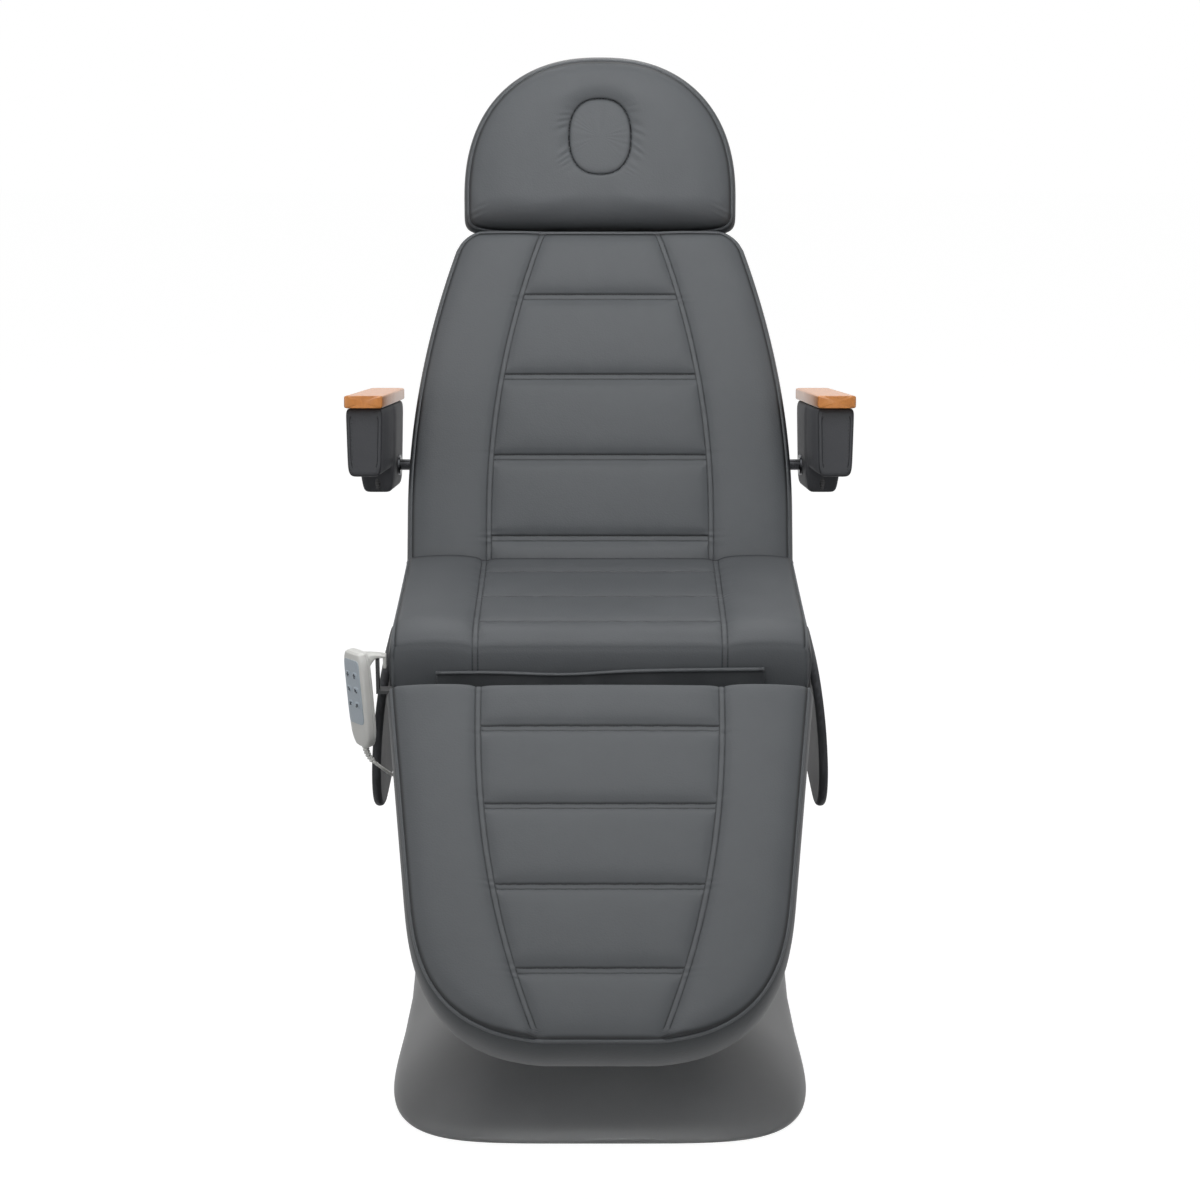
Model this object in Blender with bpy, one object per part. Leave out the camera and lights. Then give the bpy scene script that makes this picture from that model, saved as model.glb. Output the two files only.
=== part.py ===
"""Electric treatment chair with three motors, at rest as photographed.

Metres, +Z up. The chair faces -Y, +X is on the viewer's right, and the origin lies on the floor
under the middle of the base. Left and right are the viewer's.
"""

from math import atan2, cos, exp, pi, radians, sin

import bmesh
import bpy
from mathutils import Matrix, Vector

# Clearances between pieces
SEAT_GAP = 0.0003  # pieces that rest on each other
RUN_GAP = 0.0004  # a pin in its bore, on the radius
SIDE_GAP = 0.0005  # beside a link on its shaft

# Base
BASE_HALF_LENGTH = 0.472
BASE_HALF_WIDTH = 0.325
BASE_WAIST = 0.023
BASE_RIM_LIFT = 0.006
BASE_RIM_HEIGHT = 0.026
BASE_DECK_HEIGHT = 0.112
BASE_WALL = 0.004
BASE_WELL_HALF_WIDTH = 0.150
BASE_WELL_FRONT = -0.305
BASE_WELL_BACK = 0.268
BASE_RAIL_X = 0.195
BASE_RAIL_WIDTH = 0.040
BASE_RAIL_HEIGHT = 0.030
BASE_RAIL_HALF_LENGTH = 0.385
BASE_CROSS_INSET = 0.040
FOOT_HEIGHT = 0.014
FOOT_RADIUS = 0.021

# Lift linkage
LIFT_PIVOT_Y = 0.200
LIFT_PIVOT_Z = 0.165
LINK_RISE = 0.120
LINK_LENGTH = 0.360
LINK_ANGLE = radians(15.0)
LINK_HEIGHT = 0.032
LINK_THICKNESS = 0.010
LINK_X = 0.098
SIDE_PLATE_X = 0.125
SIDE_PLATE_THICKNESS = 0.010
SHAFT_RADIUS = 0.010
LIFT_CRANK = 0.070
LIFT_CRANK_ANGLE = radians(110.0)

# Linear actuators
ACTUATOR_TUBE_RADIUS = 0.019
ACTUATOR_ROD_RADIUS = 0.0080
ACTUATOR_PIN_RADIUS = 0.005
EYE_WIDTH = 0.016
CRANK_CHEEK = 0.006
CRANK_ROUND = 0.011
ANCHOR_PIN_RADIUS = 0.006
# Spare radius in each rod's eye, where the linkage loop is open
LIFT_SLACK = 0.0025
BACK_SLACK = 0.0060
LEG_SLACK = 0.0036
# How far each eye sits off its pin at rest, along the rod and across it
LIFT_EYE_SHIFT = (0.0005, 0.0019)
BACK_EYE_SHIFT = (-0.0010, 0.0009)
LEG_EYE_SHIFT = (0.0003, 0.0024)
# Each actuator's tube and the rear end of its rod, from its anchor pin, and the rod's run back from rest
LIFT_TUBE = 0.300
LIFT_ROD_START = 0.200
BACK_ROD_TUBE = 0.270
BACK_ROD_START = 0.205
BACK_ROD_TRAVEL = 0.048
LEG_ROD_TUBE = 0.140
LEG_ROD_START = 0.096
LEG_ROD_TRAVEL = 0.018
LIFT_ANCHOR_Y = -0.270
LIFT_ANCHOR_Z = 0.130
BACK_ANCHOR_Y = -0.100
BACK_ANCHOR_Z = 0.400
LEG_ANCHOR_Y = 0.060
LEG_ANCHOR_Z = 0.525
ACTUATOR_X = 0.050

# Seat
SEAT_TOP = 0.690
SEAT_HALF_WIDTH = 0.305
SEAT_FRONT = -0.187
SEAT_BACK = 0.172
SEAT_THICKNESS = 0.081
BOARD_THICKNESS = 0.012
SEAT_FRAME_HEIGHT = 0.035
SEAT_RAIL_WIDTH = 0.030
SEAT_RAIL_FRONT = -0.165
SEAT_RAIL_BACK = 0.255
SEAT_SEAM_FIRST = 0.117
SEAT_SEAM_PITCH = 0.120
SEAT_PANEL_HALF_WIDTH = 0.181
FLAP_HALF_WIDTH = 0.243
FLAP_TOP = 0.653
FLAP_BOTTOM = 0.600
FLAP_THICKNESS = 0.003

# Backrest
BACK_ANGLE = radians(65.8)
BACK_HINGE_Y = 0.237
BACK_HINGE_Z = 0.640
BACK_FACE = 0.050
BACK_THICKNESS = 0.075
BACK_LENGTH = 0.583
BACK_HALF_WIDTH = 0.3045
BACK_TOP_HALF_WIDTH = 0.2155
BACK_STRAIGHT = 0.1125
BACK_CORNER = 0.030
BACK_TAIL = 0.030
BACK_TAIL_THICKNESS = 0.032
BACK_REBATE_END = 0.034
BACK_SEAM_FIRST = 0.0675
BACK_SEAM_PITCH = 0.133
BACK_CRANK = 0.045
BACK_CRANK_ANGLE = radians(320.0)
BACK_RAIL_X = 0.150
BACK_TUBE = 0.025
SIDE_PANEL_WIDTH = 0.125

# Leg rest
LEG_ANGLE = radians(36.5)
LEG_HINGE_Y = -0.150
LEG_HINGE_Z = 0.585
LEG_TOP_START = 0.050
LEG_LENGTH = 0.581
LEG_THICKNESS = 0.073
LEG_HALF_WIDTH = 0.304
LEG_TAPER = 0.115
LEG_ROUND_START = 0.330
LEG_ROUND_POWER = 3.2
LEG_END_SHORT = 0.007  # the round end's own reach stops short of the leg rest's length
LEG_SEAM_FIRST = 0.077
LEG_SEAM_PITCH = 0.130
LEG_CRANK = 0.055
LEG_CRANK_ANGLE = radians(276.0)
LEG_RAIL_X = 0.095
LEG_TUBE = 0.025
HINGE_PIN_RADIUS = 0.006

# Headrest
HEAD_ANGLE = radians(76.4)
HEAD_PIVOT_ABOVE = 0.0455  # over the backrest's top
HEAD_FACE = 0.1066
HEAD_START = -0.0278
HEAD_LENGTH = 0.281
HEAD_HALF_WIDTH = 0.224
HEAD_WIDEST = 0.050
HEAD_ROUND_POWER = 2.3
HEAD_THICKNESS = 0.068
HEAD_ROD_X = 0.070
HEAD_ROD_RADIUS = 0.007
HEAD_ROD_LENGTH = 0.270
HEAD_GUIDE_LENGTH = 0.130
PLUG_CENTRE = 0.148
PLUG_HALF_WIDTH = 0.0505
PLUG_HALF_HEIGHT = 0.062
PLUG_CLEARANCE = 0.0005

# Armrests
ARM_INNER_X = 0.332
ARM_OUTER_X = 0.391
ARM_TIP_Y = 0.050
ARM_TIP_Z = 0.995
ARM_TILT = radians(11.0)
ARM_LENGTH = 0.467
ARM_WOOD = 0.020
ARM_PIVOT_REACH = 0.2056
ARM_ROD_RADIUS = 0.009

# Side wings
WING_THICKNESS = 0.014
WING_TOP = 0.612
WING_BOTTOM = 0.370
WING_FRONT = -0.140
WING_BACK = 0.185
WING_TOP_X = 0.3235
WING_BULGE = 0.0165

# Handset
HANDSET_LENGTH = 0.150
HANDSET_WIDTH = 0.048
HANDSET_DEPTH = 0.022
HANDSET_X = -0.362
HANDSET_Y = -0.170
HANDSET_TOP = 0.658
HANDSET_TURN = radians(-50.0)
HANDSET_LEAN = radians(-4.0)
KEYPAD_HALF_WIDTH = 0.0170
KEYPAD_TOP = 0.014
KEYPAD_LENGTH = 0.092
KEYPAD_THICKNESS = 0.0018
KEYPAD_SUNK = 0.0018
KEY_SIDE = 0.0105
KEY_HEIGHT = 0.0032
KEY_TRAVEL = 0.0008
KEY_PITCH_X = 0.0165
KEY_PITCH_Z = 0.0230
KEY_FIRST = 0.035
BRACKET_Y = -0.165
BRACKET_TOP = 0.645
BRACKET_LEG_X = -0.3285
BRACKET_SHEET = 0.0045
BRACKET_HALF_WIDTH = 0.011
BRACKET_INNER_X = -0.200
CORD_RADIUS = 0.0025


def material(name, colour, roughness, metallic=0.0):
    """A Principled material of one colour."""
    made = bpy.data.materials.new(name)
    made.use_nodes = True
    shader = made.node_tree.nodes["Principled BSDF"]
    shader.inputs["Base Color"].default_value = (*colour, 1.0)
    shader.inputs["Roughness"].default_value = roughness
    shader.inputs["Metallic"].default_value = metallic
    return made


def joint_empty(name, place):
    """An empty on a joint's axis, the parent of the pieces that turn or slide on it."""
    empty = bpy.data.objects.new(name, None)
    empty.location = place
    bpy.context.scene.collection.objects.link(empty)
    return empty


def piece(name, mesh_data, finish, parent=None, smooth_angle=35.0):
    """Puts a finished mesh into the scene under its name, on its joint's empty."""
    mesh = bpy.data.meshes.new(name)
    mesh_data.to_mesh(mesh)
    mesh_data.free()
    mesh.shade_smooth()
    mesh.set_sharp_from_angle(angle=radians(smooth_angle))
    mesh.materials.append(finish)
    made = bpy.data.objects.new(name, mesh)
    bpy.context.scene.collection.objects.link(made)
    if parent:
        made.parent = parent
        made.matrix_parent_inverse = Matrix.Translation(parent.location).inverted()
    return made


def prism(outline, x0, x1):
    """A (y, z) outline carried along X."""
    shape = bmesh.new()
    low = [shape.verts.new((x0, y, z)) for y, z in outline]
    high = [shape.verts.new((x1, y, z)) for y, z in outline]
    shape.faces.new(low)
    shape.faces.new(list(reversed(high)))
    for i in range(len(outline)):
        j = (i + 1) % len(outline)
        shape.faces.new((low[i], high[i], high[j], low[j]))
    bmesh.ops.recalc_face_normals(shape, faces=shape.faces)
    return shape


def chamfer(shape, width):
    """Breaks all the edges of a mesh."""
    bmesh.ops.bevel(shape, geom=shape.edges[:], offset=width, segments=1, affect="EDGES", profile=0.5)


def block(x0, x1, y0, y1, z0, z1, round_edge=0.0):
    """A box between its corners, with its edges broken if asked."""
    shape = prism([(y0, z0), (y1, z0), (y1, z1), (y0, z1)], x0, x1)
    if round_edge:
        chamfer(shape, round_edge)
    return shape


def circle(y, z, radius, steps=14):
    """Points of a circle in the (y, z) plane."""
    angles = [2 * pi * i / steps for i in range(steps)]
    return [(y + radius * cos(a), z + radius * sin(a)) for a in angles]


def bar_x(y, z, radius, x0, x1, steps=14):
    """A round bar along X."""
    return prism(circle(y, z, radius, steps), x0, x1)


def polar(centre, radius, angle):
    """The (y, z) point at an angle round a pivot."""
    return (centre[0] + radius * cos(angle), centre[1] + radius * sin(angle))


def capsule(start, end, radius, steps=6):
    """The (y, z) outline of a flat link with round ends about two pivots."""
    along = atan2(end[1] - start[1], end[0] - start[0])
    outline = []
    for centre, first in ((end, along - pi / 2), (start, along + pi / 2)):
        for i in range(steps + 1):
            angle = first + pi * i / steps
            outline.append(polar(centre, radius, angle))
    return outline


def loft(rings, wrap=False):
    """Closed rings of points joined in order, the ends capped, or joined to each other with wrap."""
    shape = bmesh.new()
    loops = [[shape.verts.new(point) for point in ring] for ring in rings]
    count = len(loops[0])
    pairs = list(zip(loops, loops[1:]))
    if wrap:
        pairs.append((loops[-1], loops[0]))
    else:
        shape.faces.new(loops[0])
        shape.faces.new(loops[-1])
    for near, far in pairs:
        for i in range(count):
            j = (i + 1) % count
            shape.faces.new((near[i], near[j], far[j], far[i]))
    bmesh.ops.recalc_face_normals(shape, faces=shape.faces)
    return shape


def round_bar(start, end, radius, steps=12):
    """A round bar between two points."""
    axis = Vector(end) - Vector(start)
    turn = axis.to_track_quat("Z", "Y").to_matrix()
    ring = [turn @ Vector((across, up, 0)) for across, up in circle(0, 0, radius, steps)]
    return loft([[Vector(start) + p for p in ring], [Vector(end) + p for p in ring]])


def boolean(target, tools, operation):
    """Joins tools to a mesh, or cuts them from it, one by one, and frees the tools."""
    for tool in tools:
        ends = []
        for shape in (target, tool):
            mesh = bpy.data.meshes.new("boolean_end")
            shape.to_mesh(mesh)
            shape.free()
            ends.append(bpy.data.objects.new("boolean_end", mesh))
            bpy.context.scene.collection.objects.link(ends[-1])
        change = ends[0].modifiers.new("change", "BOOLEAN")
        change.operation = operation
        change.solver = "EXACT"
        change.object = ends[1]
        bpy.context.view_layer.update()
        graph = bpy.context.evaluated_depsgraph_get()
        target = bmesh.new()
        target.from_mesh(ends[0].evaluated_get(graph).to_mesh())
        for end in ends:
            bpy.data.objects.remove(end, do_unlink=True)
    return target


def fuse(target, *tools):
    return boolean(target, tools, "UNION")


def cut(target, *tools):
    return boolean(target, tools, "DIFFERENCE")


def placed(shape, frame):
    """Moves a mesh from a panel's own frame to the chair's."""
    bmesh.ops.transform(shape, matrix=frame, verts=shape.verts)
    if frame.determinant() < 0:
        bmesh.ops.reverse_faces(shape, faces=shape.faces)
    return shape


def panel_frame(y, z, direction):
    """The frame of an upholstered panel: X across, Y along it from its hinge, Z out of its face."""
    along = Vector((0, direction[0], direction[1]))
    # The face looks up or forwards, square to the panel's length.
    out = Vector((0, -direction[1], direction[0]))
    if out.z < 0:
        out = -out
    columns = Matrix((Vector((1, 0, 0)), along, out)).transposed()
    return Matrix.Translation((0, y, z)) @ columns.to_4x4()


def spread(marks, widest):
    """The marks, with a place added midway between any two that lie further apart than widest."""
    places = []
    for a, b in zip(marks, marks[1:]):
        places.append(a)
        if b - a > widest:
            places.append((a + b) / 2)
    return places + [marks[-1]]


def squared(value, power):
    """A cosine or sine raised to a superellipse's power, with its sign kept."""
    return abs(value) ** (2 / power) * (1 if value > 0 else -1)


for stray in list(bpy.data.objects):
    bpy.data.objects.remove(stray, do_unlink=True)

VINYL = material("grey_vinyl", (0.115, 0.117, 0.122), 0.42)
DARK_VINYL = material("dark_vinyl", (0.055, 0.055, 0.057), 0.5)
COVER_PLASTIC = material("grey_abs", (0.105, 0.105, 0.108), 0.35)
STEEL = material("powder_coated_steel", (0.03, 0.031, 0.033), 0.5, 0.3)
BRIGHT = material("bright_steel", (0.6, 0.6, 0.6), 0.25, 1.0)
PLYWOOD = material("plywood", (0.42, 0.29, 0.17), 0.7)
WOOD = material("lacquered_beech", (0.55, 0.25, 0.08), 0.3)
RUBBER = material("rubber", (0.02, 0.02, 0.02), 0.8)
BLACK_PLASTIC = material("black_plastic", (0.02, 0.02, 0.022), 0.45)
HANDSET_PLASTIC = material("off_white_abs", (0.48, 0.49, 0.48), 0.4)
KEYPAD_FILM = material("blue_grey_film", (0.30, 0.34, 0.37), 0.45)

# Base: four rubber feet, a welded frame with two towers, and a moulded cover round it

foot_y = BASE_RAIL_HALF_LENGTH - BASE_CROSS_INSET
frame_low = FOOT_HEIGHT
frame_high = FOOT_HEIGHT + BASE_RAIL_HEIGHT
lower_pivot = (LIFT_PIVOT_Y, LIFT_PIVOT_Z)
upper_pivot = (LIFT_PIVOT_Y, LIFT_PIVOT_Z + LINK_RISE)
link_reach = (-LINK_LENGTH * cos(LINK_ANGLE), LINK_LENGTH * sin(LINK_ANGLE))
lower_carriage = (lower_pivot[0] + link_reach[0], lower_pivot[1] + link_reach[1])
upper_carriage = (upper_pivot[0] + link_reach[0], upper_pivot[1] + link_reach[1])
plate_inner = SIDE_PLATE_X - SIDE_PLATE_THICKNESS / 2
plate_outer = SIDE_PLATE_X + SIDE_PLATE_THICKNESS / 2
cheek_inner = EYE_WIDTH / 2 + 2 * SIDE_GAP
cheek_outer = cheek_inner + CRANK_CHEEK
TOWER_HALF_LENGTH = 0.045
TOWER_HEAD = 0.026
POST_HALF_WIDTH = 0.006
CROSS_HALF_WIDTH = 0.018
CROSS_DROP = 0.002


def base_plan(inset, height, count=44):
    """The base's plan: a squared oval, drawn in a little at its waist."""
    ring = []
    for i in range(count):
        angle = 2 * pi * i / count
        across = squared(cos(angle), 5)
        along = squared(sin(angle), 5)
        width = BASE_HALF_WIDTH - inset - BASE_WAIST * (1 - along * along) ** 2
        ring.append((width * across, (BASE_HALF_LENGTH - inset) * along, height))
    return ring


def well_plan(grow, height, count=44):
    """The opening in the cover's deck: a rounded rectangle round the lift."""
    middle = (BASE_WELL_FRONT + BASE_WELL_BACK) / 2
    reach = (BASE_WELL_BACK - BASE_WELL_FRONT) / 2 + grow
    ring = []
    for i in range(count):
        angle = 2 * pi * i / count
        across = squared(cos(angle), 8)
        along = squared(sin(angle), 8)
        ring.append(((BASE_WELL_HALF_WIDTH + grow) * across, middle + reach * along, height))
    return ring


# (inset from the rim, height) of the cover's skin, from the rim up to the deck
COVER_STEPS = ((0.0, BASE_RIM_LIFT), (0.0, BASE_RIM_HEIGHT * 0.7), (0.005, BASE_RIM_HEIGHT),
               (0.030, BASE_RIM_HEIGHT + 0.012), (0.070, BASE_DECK_HEIGHT - 0.034),
               (0.098, BASE_DECK_HEIGHT - 0.007), (0.120, BASE_DECK_HEIGHT))
cover_outer = [base_plan(inset, height) for inset, height in COVER_STEPS]
cover_inner = [base_plan(inset + BASE_WALL, max(height - BASE_WALL, BASE_RIM_LIFT))
               for inset, height in COVER_STEPS if height != COVER_STEPS[1][1]]
lip_low = BASE_DECK_HEIGHT - 3 * BASE_WALL
cover_lip = [well_plan(0.0, BASE_DECK_HEIGHT), well_plan(0.0, lip_low), well_plan(BASE_WALL, lip_low),
             well_plan(BASE_WALL, BASE_DECK_HEIGHT - BASE_WALL)]
cover_rings = cover_outer + cover_lip + cover_inner[::-1]
piece("base_cover", loft(cover_rings, wrap=True), COVER_PLASTIC)

frame_parts = []
for side in (-1, 1):
    rail = sorted((side * (BASE_RAIL_X - BASE_RAIL_WIDTH / 2), side * (BASE_RAIL_X + BASE_RAIL_WIDTH / 2)))
    frame_parts.append(block(*rail, -BASE_RAIL_HALF_LENGTH, BASE_RAIL_HALF_LENGTH, frame_low, frame_high))
cross_places = (-foot_y, LIFT_ANCHOR_Y, LIFT_PIVOT_Y, foot_y)
for y in cross_places:
    frame_parts.append(block(-BASE_RAIL_X, BASE_RAIL_X, y - CROSS_HALF_WIDTH, y + CROSS_HALF_WIDTH,
                             frame_low + CROSS_DROP, frame_high - CROSS_DROP))
for side in (-1, 1):
    tower = sorted((side * plate_inner, side * plate_outer))
    toe_y = LIFT_PIVOT_Y - TOWER_HALF_LENGTH
    heel_y = LIFT_PIVOT_Y + TOWER_HALF_LENGTH
    outline = [(toe_y, frame_low + 2 * CROSS_DROP), (heel_y, frame_low + 2 * CROSS_DROP),
               (LIFT_PIVOT_Y + TOWER_HEAD, upper_pivot[1])]
    for i in range(1, 8):
        angle = pi * i / 8
        outline.append(polar(upper_pivot, TOWER_HEAD, angle))
    outline.append((LIFT_PIVOT_Y - TOWER_HEAD, upper_pivot[1]))
    frame_parts.append(prism(outline, *tower))
    clevis = sorted((side * cheek_inner, side * cheek_outer))
    anchor = (LIFT_ANCHOR_Y, LIFT_ANCHOR_Z)
    frame_parts.append(prism(capsule((LIFT_ANCHOR_Y, frame_low + CROSS_HALF_WIDTH), anchor, 0.013), *clevis))
    post_x = BASE_WELL_HALF_WIDTH + BASE_WALL + 2 * POST_HALF_WIDTH
    for y in (LIFT_ANCHOR_Y, LIFT_PIVOT_Y):
        post = sorted((side * (post_x - POST_HALF_WIDTH), side * (post_x + POST_HALF_WIDTH)))
        frame_parts.append(block(*post, y - POST_HALF_WIDTH, y + POST_HALF_WIDTH,
                                 frame_low + 2 * CROSS_DROP, BASE_DECK_HEIGHT - BASE_WALL - SEAT_GAP))
frame_parts.append(bar_x(LIFT_ANCHOR_Y, LIFT_ANCHOR_Z, ANCHOR_PIN_RADIUS, -cheek_outer, cheek_outer, 14))
base_frame = fuse(*frame_parts)
shaft_reach = plate_outer + 0.004
for y, z in (lower_pivot, upper_pivot):
    base_frame = cut(base_frame, bar_x(y, z, SHAFT_RADIUS + RUN_GAP, -shaft_reach, shaft_reach))
piece("base_frame", base_frame, STEEL)

FOOT_PLACES = {"front_left": (-1, -1), "front_right": (1, -1), "rear_left": (-1, 1), "rear_right": (1, 1)}
for place, (x, y) in FOOT_PLACES.items():
    foot = []
    for radius, z in ((FOOT_RADIUS, 0.0), (0.85 * FOOT_RADIUS, FOOT_HEIGHT - SEAT_GAP)):
        ring = circle(x * BASE_RAIL_X, y * foot_y, radius, 16)
        foot.append([(across, along, z) for across, along in ring])
    piece(f"foot_{place}", loft(foot), RUBBER)

# Lift: an H-shaped lower arm with the crank, two upper links and four shafts

lift_joint = joint_empty("lift_joint", (0, *lower_pivot))
upper_joint = joint_empty("upper_link_joint", (0, *upper_pivot))
seat_joint = joint_empty("seat_joint", (0, *lower_carriage))
link_radius = LINK_HEIGHT / 2
tube_reach = plate_inner - SIDE_GAP
lift_pin = polar(lower_pivot, LIFT_CRANK, LIFT_CRANK_ANGLE)
arm_parts = [bar_x(*lower_pivot, link_radius + 0.003, -tube_reach, tube_reach),
             bar_x(*lower_carriage, link_radius + 0.003, -tube_reach, tube_reach)]
for side in (-1, 1):
    link = sorted((side * (LINK_X - LINK_THICKNESS / 2), side * (LINK_X + LINK_THICKNESS / 2)))
    arm_parts.append(prism(capsule(lower_pivot, lower_carriage, link_radius), *link))
    cheek = sorted((side * cheek_inner, side * cheek_outer))
    arm_parts.append(prism(capsule(lower_pivot, lift_pin, CRANK_ROUND), *cheek))
crank_pin_reach = cheek_outer + 0.002
arm_parts.append(bar_x(*lift_pin, ACTUATOR_PIN_RADIUS, -crank_pin_reach, crank_pin_reach))
lower_arm = fuse(*arm_parts)
for pivot in (lower_pivot, lower_carriage):
    lower_arm = cut(lower_arm, bar_x(*pivot, SHAFT_RADIUS + RUN_GAP, -shaft_reach, shaft_reach))
piece("lower_lift_arm", lower_arm, STEEL, lift_joint)

for side, hand in ((-1, "left"), (1, "right")):
    link = sorted((side * (LINK_X - LINK_THICKNESS / 2), side * tube_reach))
    upper_link = prism(capsule(upper_pivot, upper_carriage, link_radius), *link)
    for pivot in (upper_pivot, upper_carriage):
        upper_link = cut(upper_link, bar_x(*pivot, SHAFT_RADIUS + RUN_GAP, -shaft_reach, shaft_reach))
    piece(f"upper_link_{hand}", upper_link, STEEL, upper_joint)

SHAFTS = {"base_lower_shaft": lower_pivot, "base_upper_shaft": upper_pivot,
          "carriage_lower_shaft": lower_carriage, "carriage_upper_shaft": upper_carriage}
for name, pivot in SHAFTS.items():
    piece(name, bar_x(*pivot, SHAFT_RADIUS, -shaft_reach, shaft_reach), BRIGHT,
          seat_joint if "carriage" in name else None)

# Actuators: a gearbox with its motor under it, a tube and a rod whose eye drives a crank

GEARBOX_LENGTH = 0.046
GEARBOX_HALF = 0.024
GEARBOX_BACK = 0.008
MOTOR_DROP = 0.044
MOTOR_RADIUS = 0.019
MOTOR_LENGTH = 0.085
EYE_WALL = 0.0055
BORE_SPARE = 0.008


def actuator(name, x, anchor, pin, slack, tube_length, rod_start, back_travel, shift, joint):
    """One actuator along the line from its anchor pin to a crank's pin.

    slack is the eye's spare radius, shift moves the eye off the pin at rest (along, across), and
    the bore leaves room for the rod to run back by back_travel.
    """
    run = Vector((pin[0] - anchor[0], pin[1] - anchor[1]))
    length = run.length
    frame = Matrix.Translation((x, 0, 0)) @ panel_frame(*anchor, run / length)
    box_start = ANCHOR_PIN_RADIUS + GEARBOX_BACK
    box_end = box_start + GEARBOX_LENGTH
    box_low = -MOTOR_DROP - MOTOR_RADIUS + 0.002
    lug = ANCHOR_PIN_RADIUS + EYE_WALL
    motor_ends = [(0, box_end - 0.005, -MOTOR_DROP), (0, box_end + MOTOR_LENGTH, -MOTOR_DROP)]
    body = fuse(block(-EYE_WIDTH / 2, EYE_WIDTH / 2, -lug, box_start + 0.004, -lug, lug, 0.003),
                block(-GEARBOX_HALF, GEARBOX_HALF, box_start, box_end, box_low, GEARBOX_HALF, 0.004),
                round_bar((0, box_end - 0.006, 0), (0, tube_length, 0), ACTUATOR_TUBE_RADIUS),
                round_bar(*motor_ends, MOTOR_RADIUS))
    body = cut(body, bar_x(0, 0, ANCHOR_PIN_RADIUS + RUN_GAP, -EYE_WIDTH, EYE_WIDTH, 14),
               round_bar((0, rod_start - back_travel - BORE_SPARE, 0), (0, tube_length + BORE_SPARE, 0),
                         ACTUATOR_ROD_RADIUS + RUN_GAP))
    piece(f"{name}_motor", placed(body, frame), BLACK_PLASTIC, joint)
    hole = ACTUATOR_PIN_RADIUS + slack
    eye = (length + shift[0], shift[1])
    rod = fuse(round_bar((0, rod_start, 0), (0, eye[0] - hole - 0.002, 0), ACTUATOR_ROD_RADIUS),
               prism(circle(*eye, hole + EYE_WALL), -EYE_WIDTH / 2, EYE_WIDTH / 2))
    rod = cut(rod, bar_x(*eye, hole, -EYE_WIDTH, EYE_WIDTH))
    piece(f"{name}_rod", placed(rod, frame), BRIGHT, joint)


seat_bottom = SEAT_TOP - SEAT_THICKNESS
board_bottom = seat_bottom - SEAT_GAP - BOARD_THICKNESS
rail_top = board_bottom - SEAT_GAP
rail_bottom = rail_top - SEAT_FRAME_HEIGHT
back_hinge = (BACK_HINGE_Y, BACK_HINGE_Z)
leg_hinge = (LEG_HINGE_Y, LEG_HINGE_Z)
back_pin = polar(back_hinge, BACK_CRANK, BACK_CRANK_ANGLE)
leg_pin = polar(leg_hinge, LEG_CRANK, LEG_CRANK_ANGLE)
lift_anchor = (LIFT_ANCHOR_Y, LIFT_ANCHOR_Z)
back_anchor = (BACK_ANCHOR_Y, BACK_ANCHOR_Z)
leg_anchor = (LEG_ANCHOR_Y, LEG_ANCHOR_Z)
actuator("lift", 0.0, lift_anchor, lift_pin, LIFT_SLACK, LIFT_TUBE, LIFT_ROD_START, 0.0, LIFT_EYE_SHIFT,
         joint_empty("lift_motor_joint", (0, *lift_anchor)))
actuator("back", ACTUATOR_X, back_anchor, back_pin, BACK_SLACK, BACK_ROD_TUBE, BACK_ROD_START,
         BACK_ROD_TRAVEL, BACK_EYE_SHIFT, joint_empty("back_motor_joint", (ACTUATOR_X, *back_anchor)))
actuator("leg", -ACTUATOR_X, leg_anchor, leg_pin, LEG_SLACK, LEG_ROD_TUBE, LEG_ROD_START, LEG_ROD_TRAVEL,
         LEG_EYE_SHIFT, joint_empty("leg_motor_joint", (-ACTUATOR_X, *leg_anchor)))

# Seat: two carriage plates on the lift, a welded frame, a plywood board, the cushion and side wings

PLATE_TOP_BACK = 0.090
PLATE_NOSE = 0.030
for side, hand, stub in ((-1, "left", leg_anchor), (1, "right", back_anchor)):
    sides = sorted((side * plate_inner, side * plate_outer))
    outline = [(lower_carriage[0] - PLATE_NOSE, lower_carriage[1] - PLATE_NOSE),
               (lower_carriage[0] + PLATE_NOSE, lower_carriage[1] - PLATE_NOSE),
               (upper_carriage[0] + 2.6 * PLATE_NOSE, upper_carriage[1] - PLATE_NOSE),
               (leg_anchor[0] - PLATE_NOSE, leg_anchor[1] - 2 * PLATE_NOSE),
               (PLATE_TOP_BACK, leg_anchor[1] - 0.6 * PLATE_NOSE), (PLATE_TOP_BACK, rail_bottom - SEAT_GAP),
               (lower_carriage[0] - PLATE_NOSE, rail_bottom - SEAT_GAP)]
    inner_end = side * (ACTUATOR_X - EYE_WIDTH / 2 - 0.004)
    stub_ends = sorted((side * (plate_inner + 0.003), inner_end))
    plate = fuse(prism(outline, *sides), bar_x(*stub, ANCHOR_PIN_RADIUS, *stub_ends, 14))
    for pivot in (lower_carriage, upper_carriage):
        plate = cut(plate, bar_x(*pivot, SHAFT_RADIUS + RUN_GAP, -shaft_reach, shaft_reach))
    piece(f"carriage_plate_{hand}", plate, STEEL, seat_joint)

rail_inner = SIDE_PLATE_X - SEAT_RAIL_WIDTH / 2
rail_outer = SIDE_PLATE_X + SEAT_RAIL_WIDTH / 2
LUG_HALF = 0.014
OUTRIGGER_PLACES = (LEG_HINGE_Y + 0.055, 0.105)
OUTRIGGER_WIDTH = 0.026
OUTRIGGER_HEIGHT = 0.020


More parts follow.
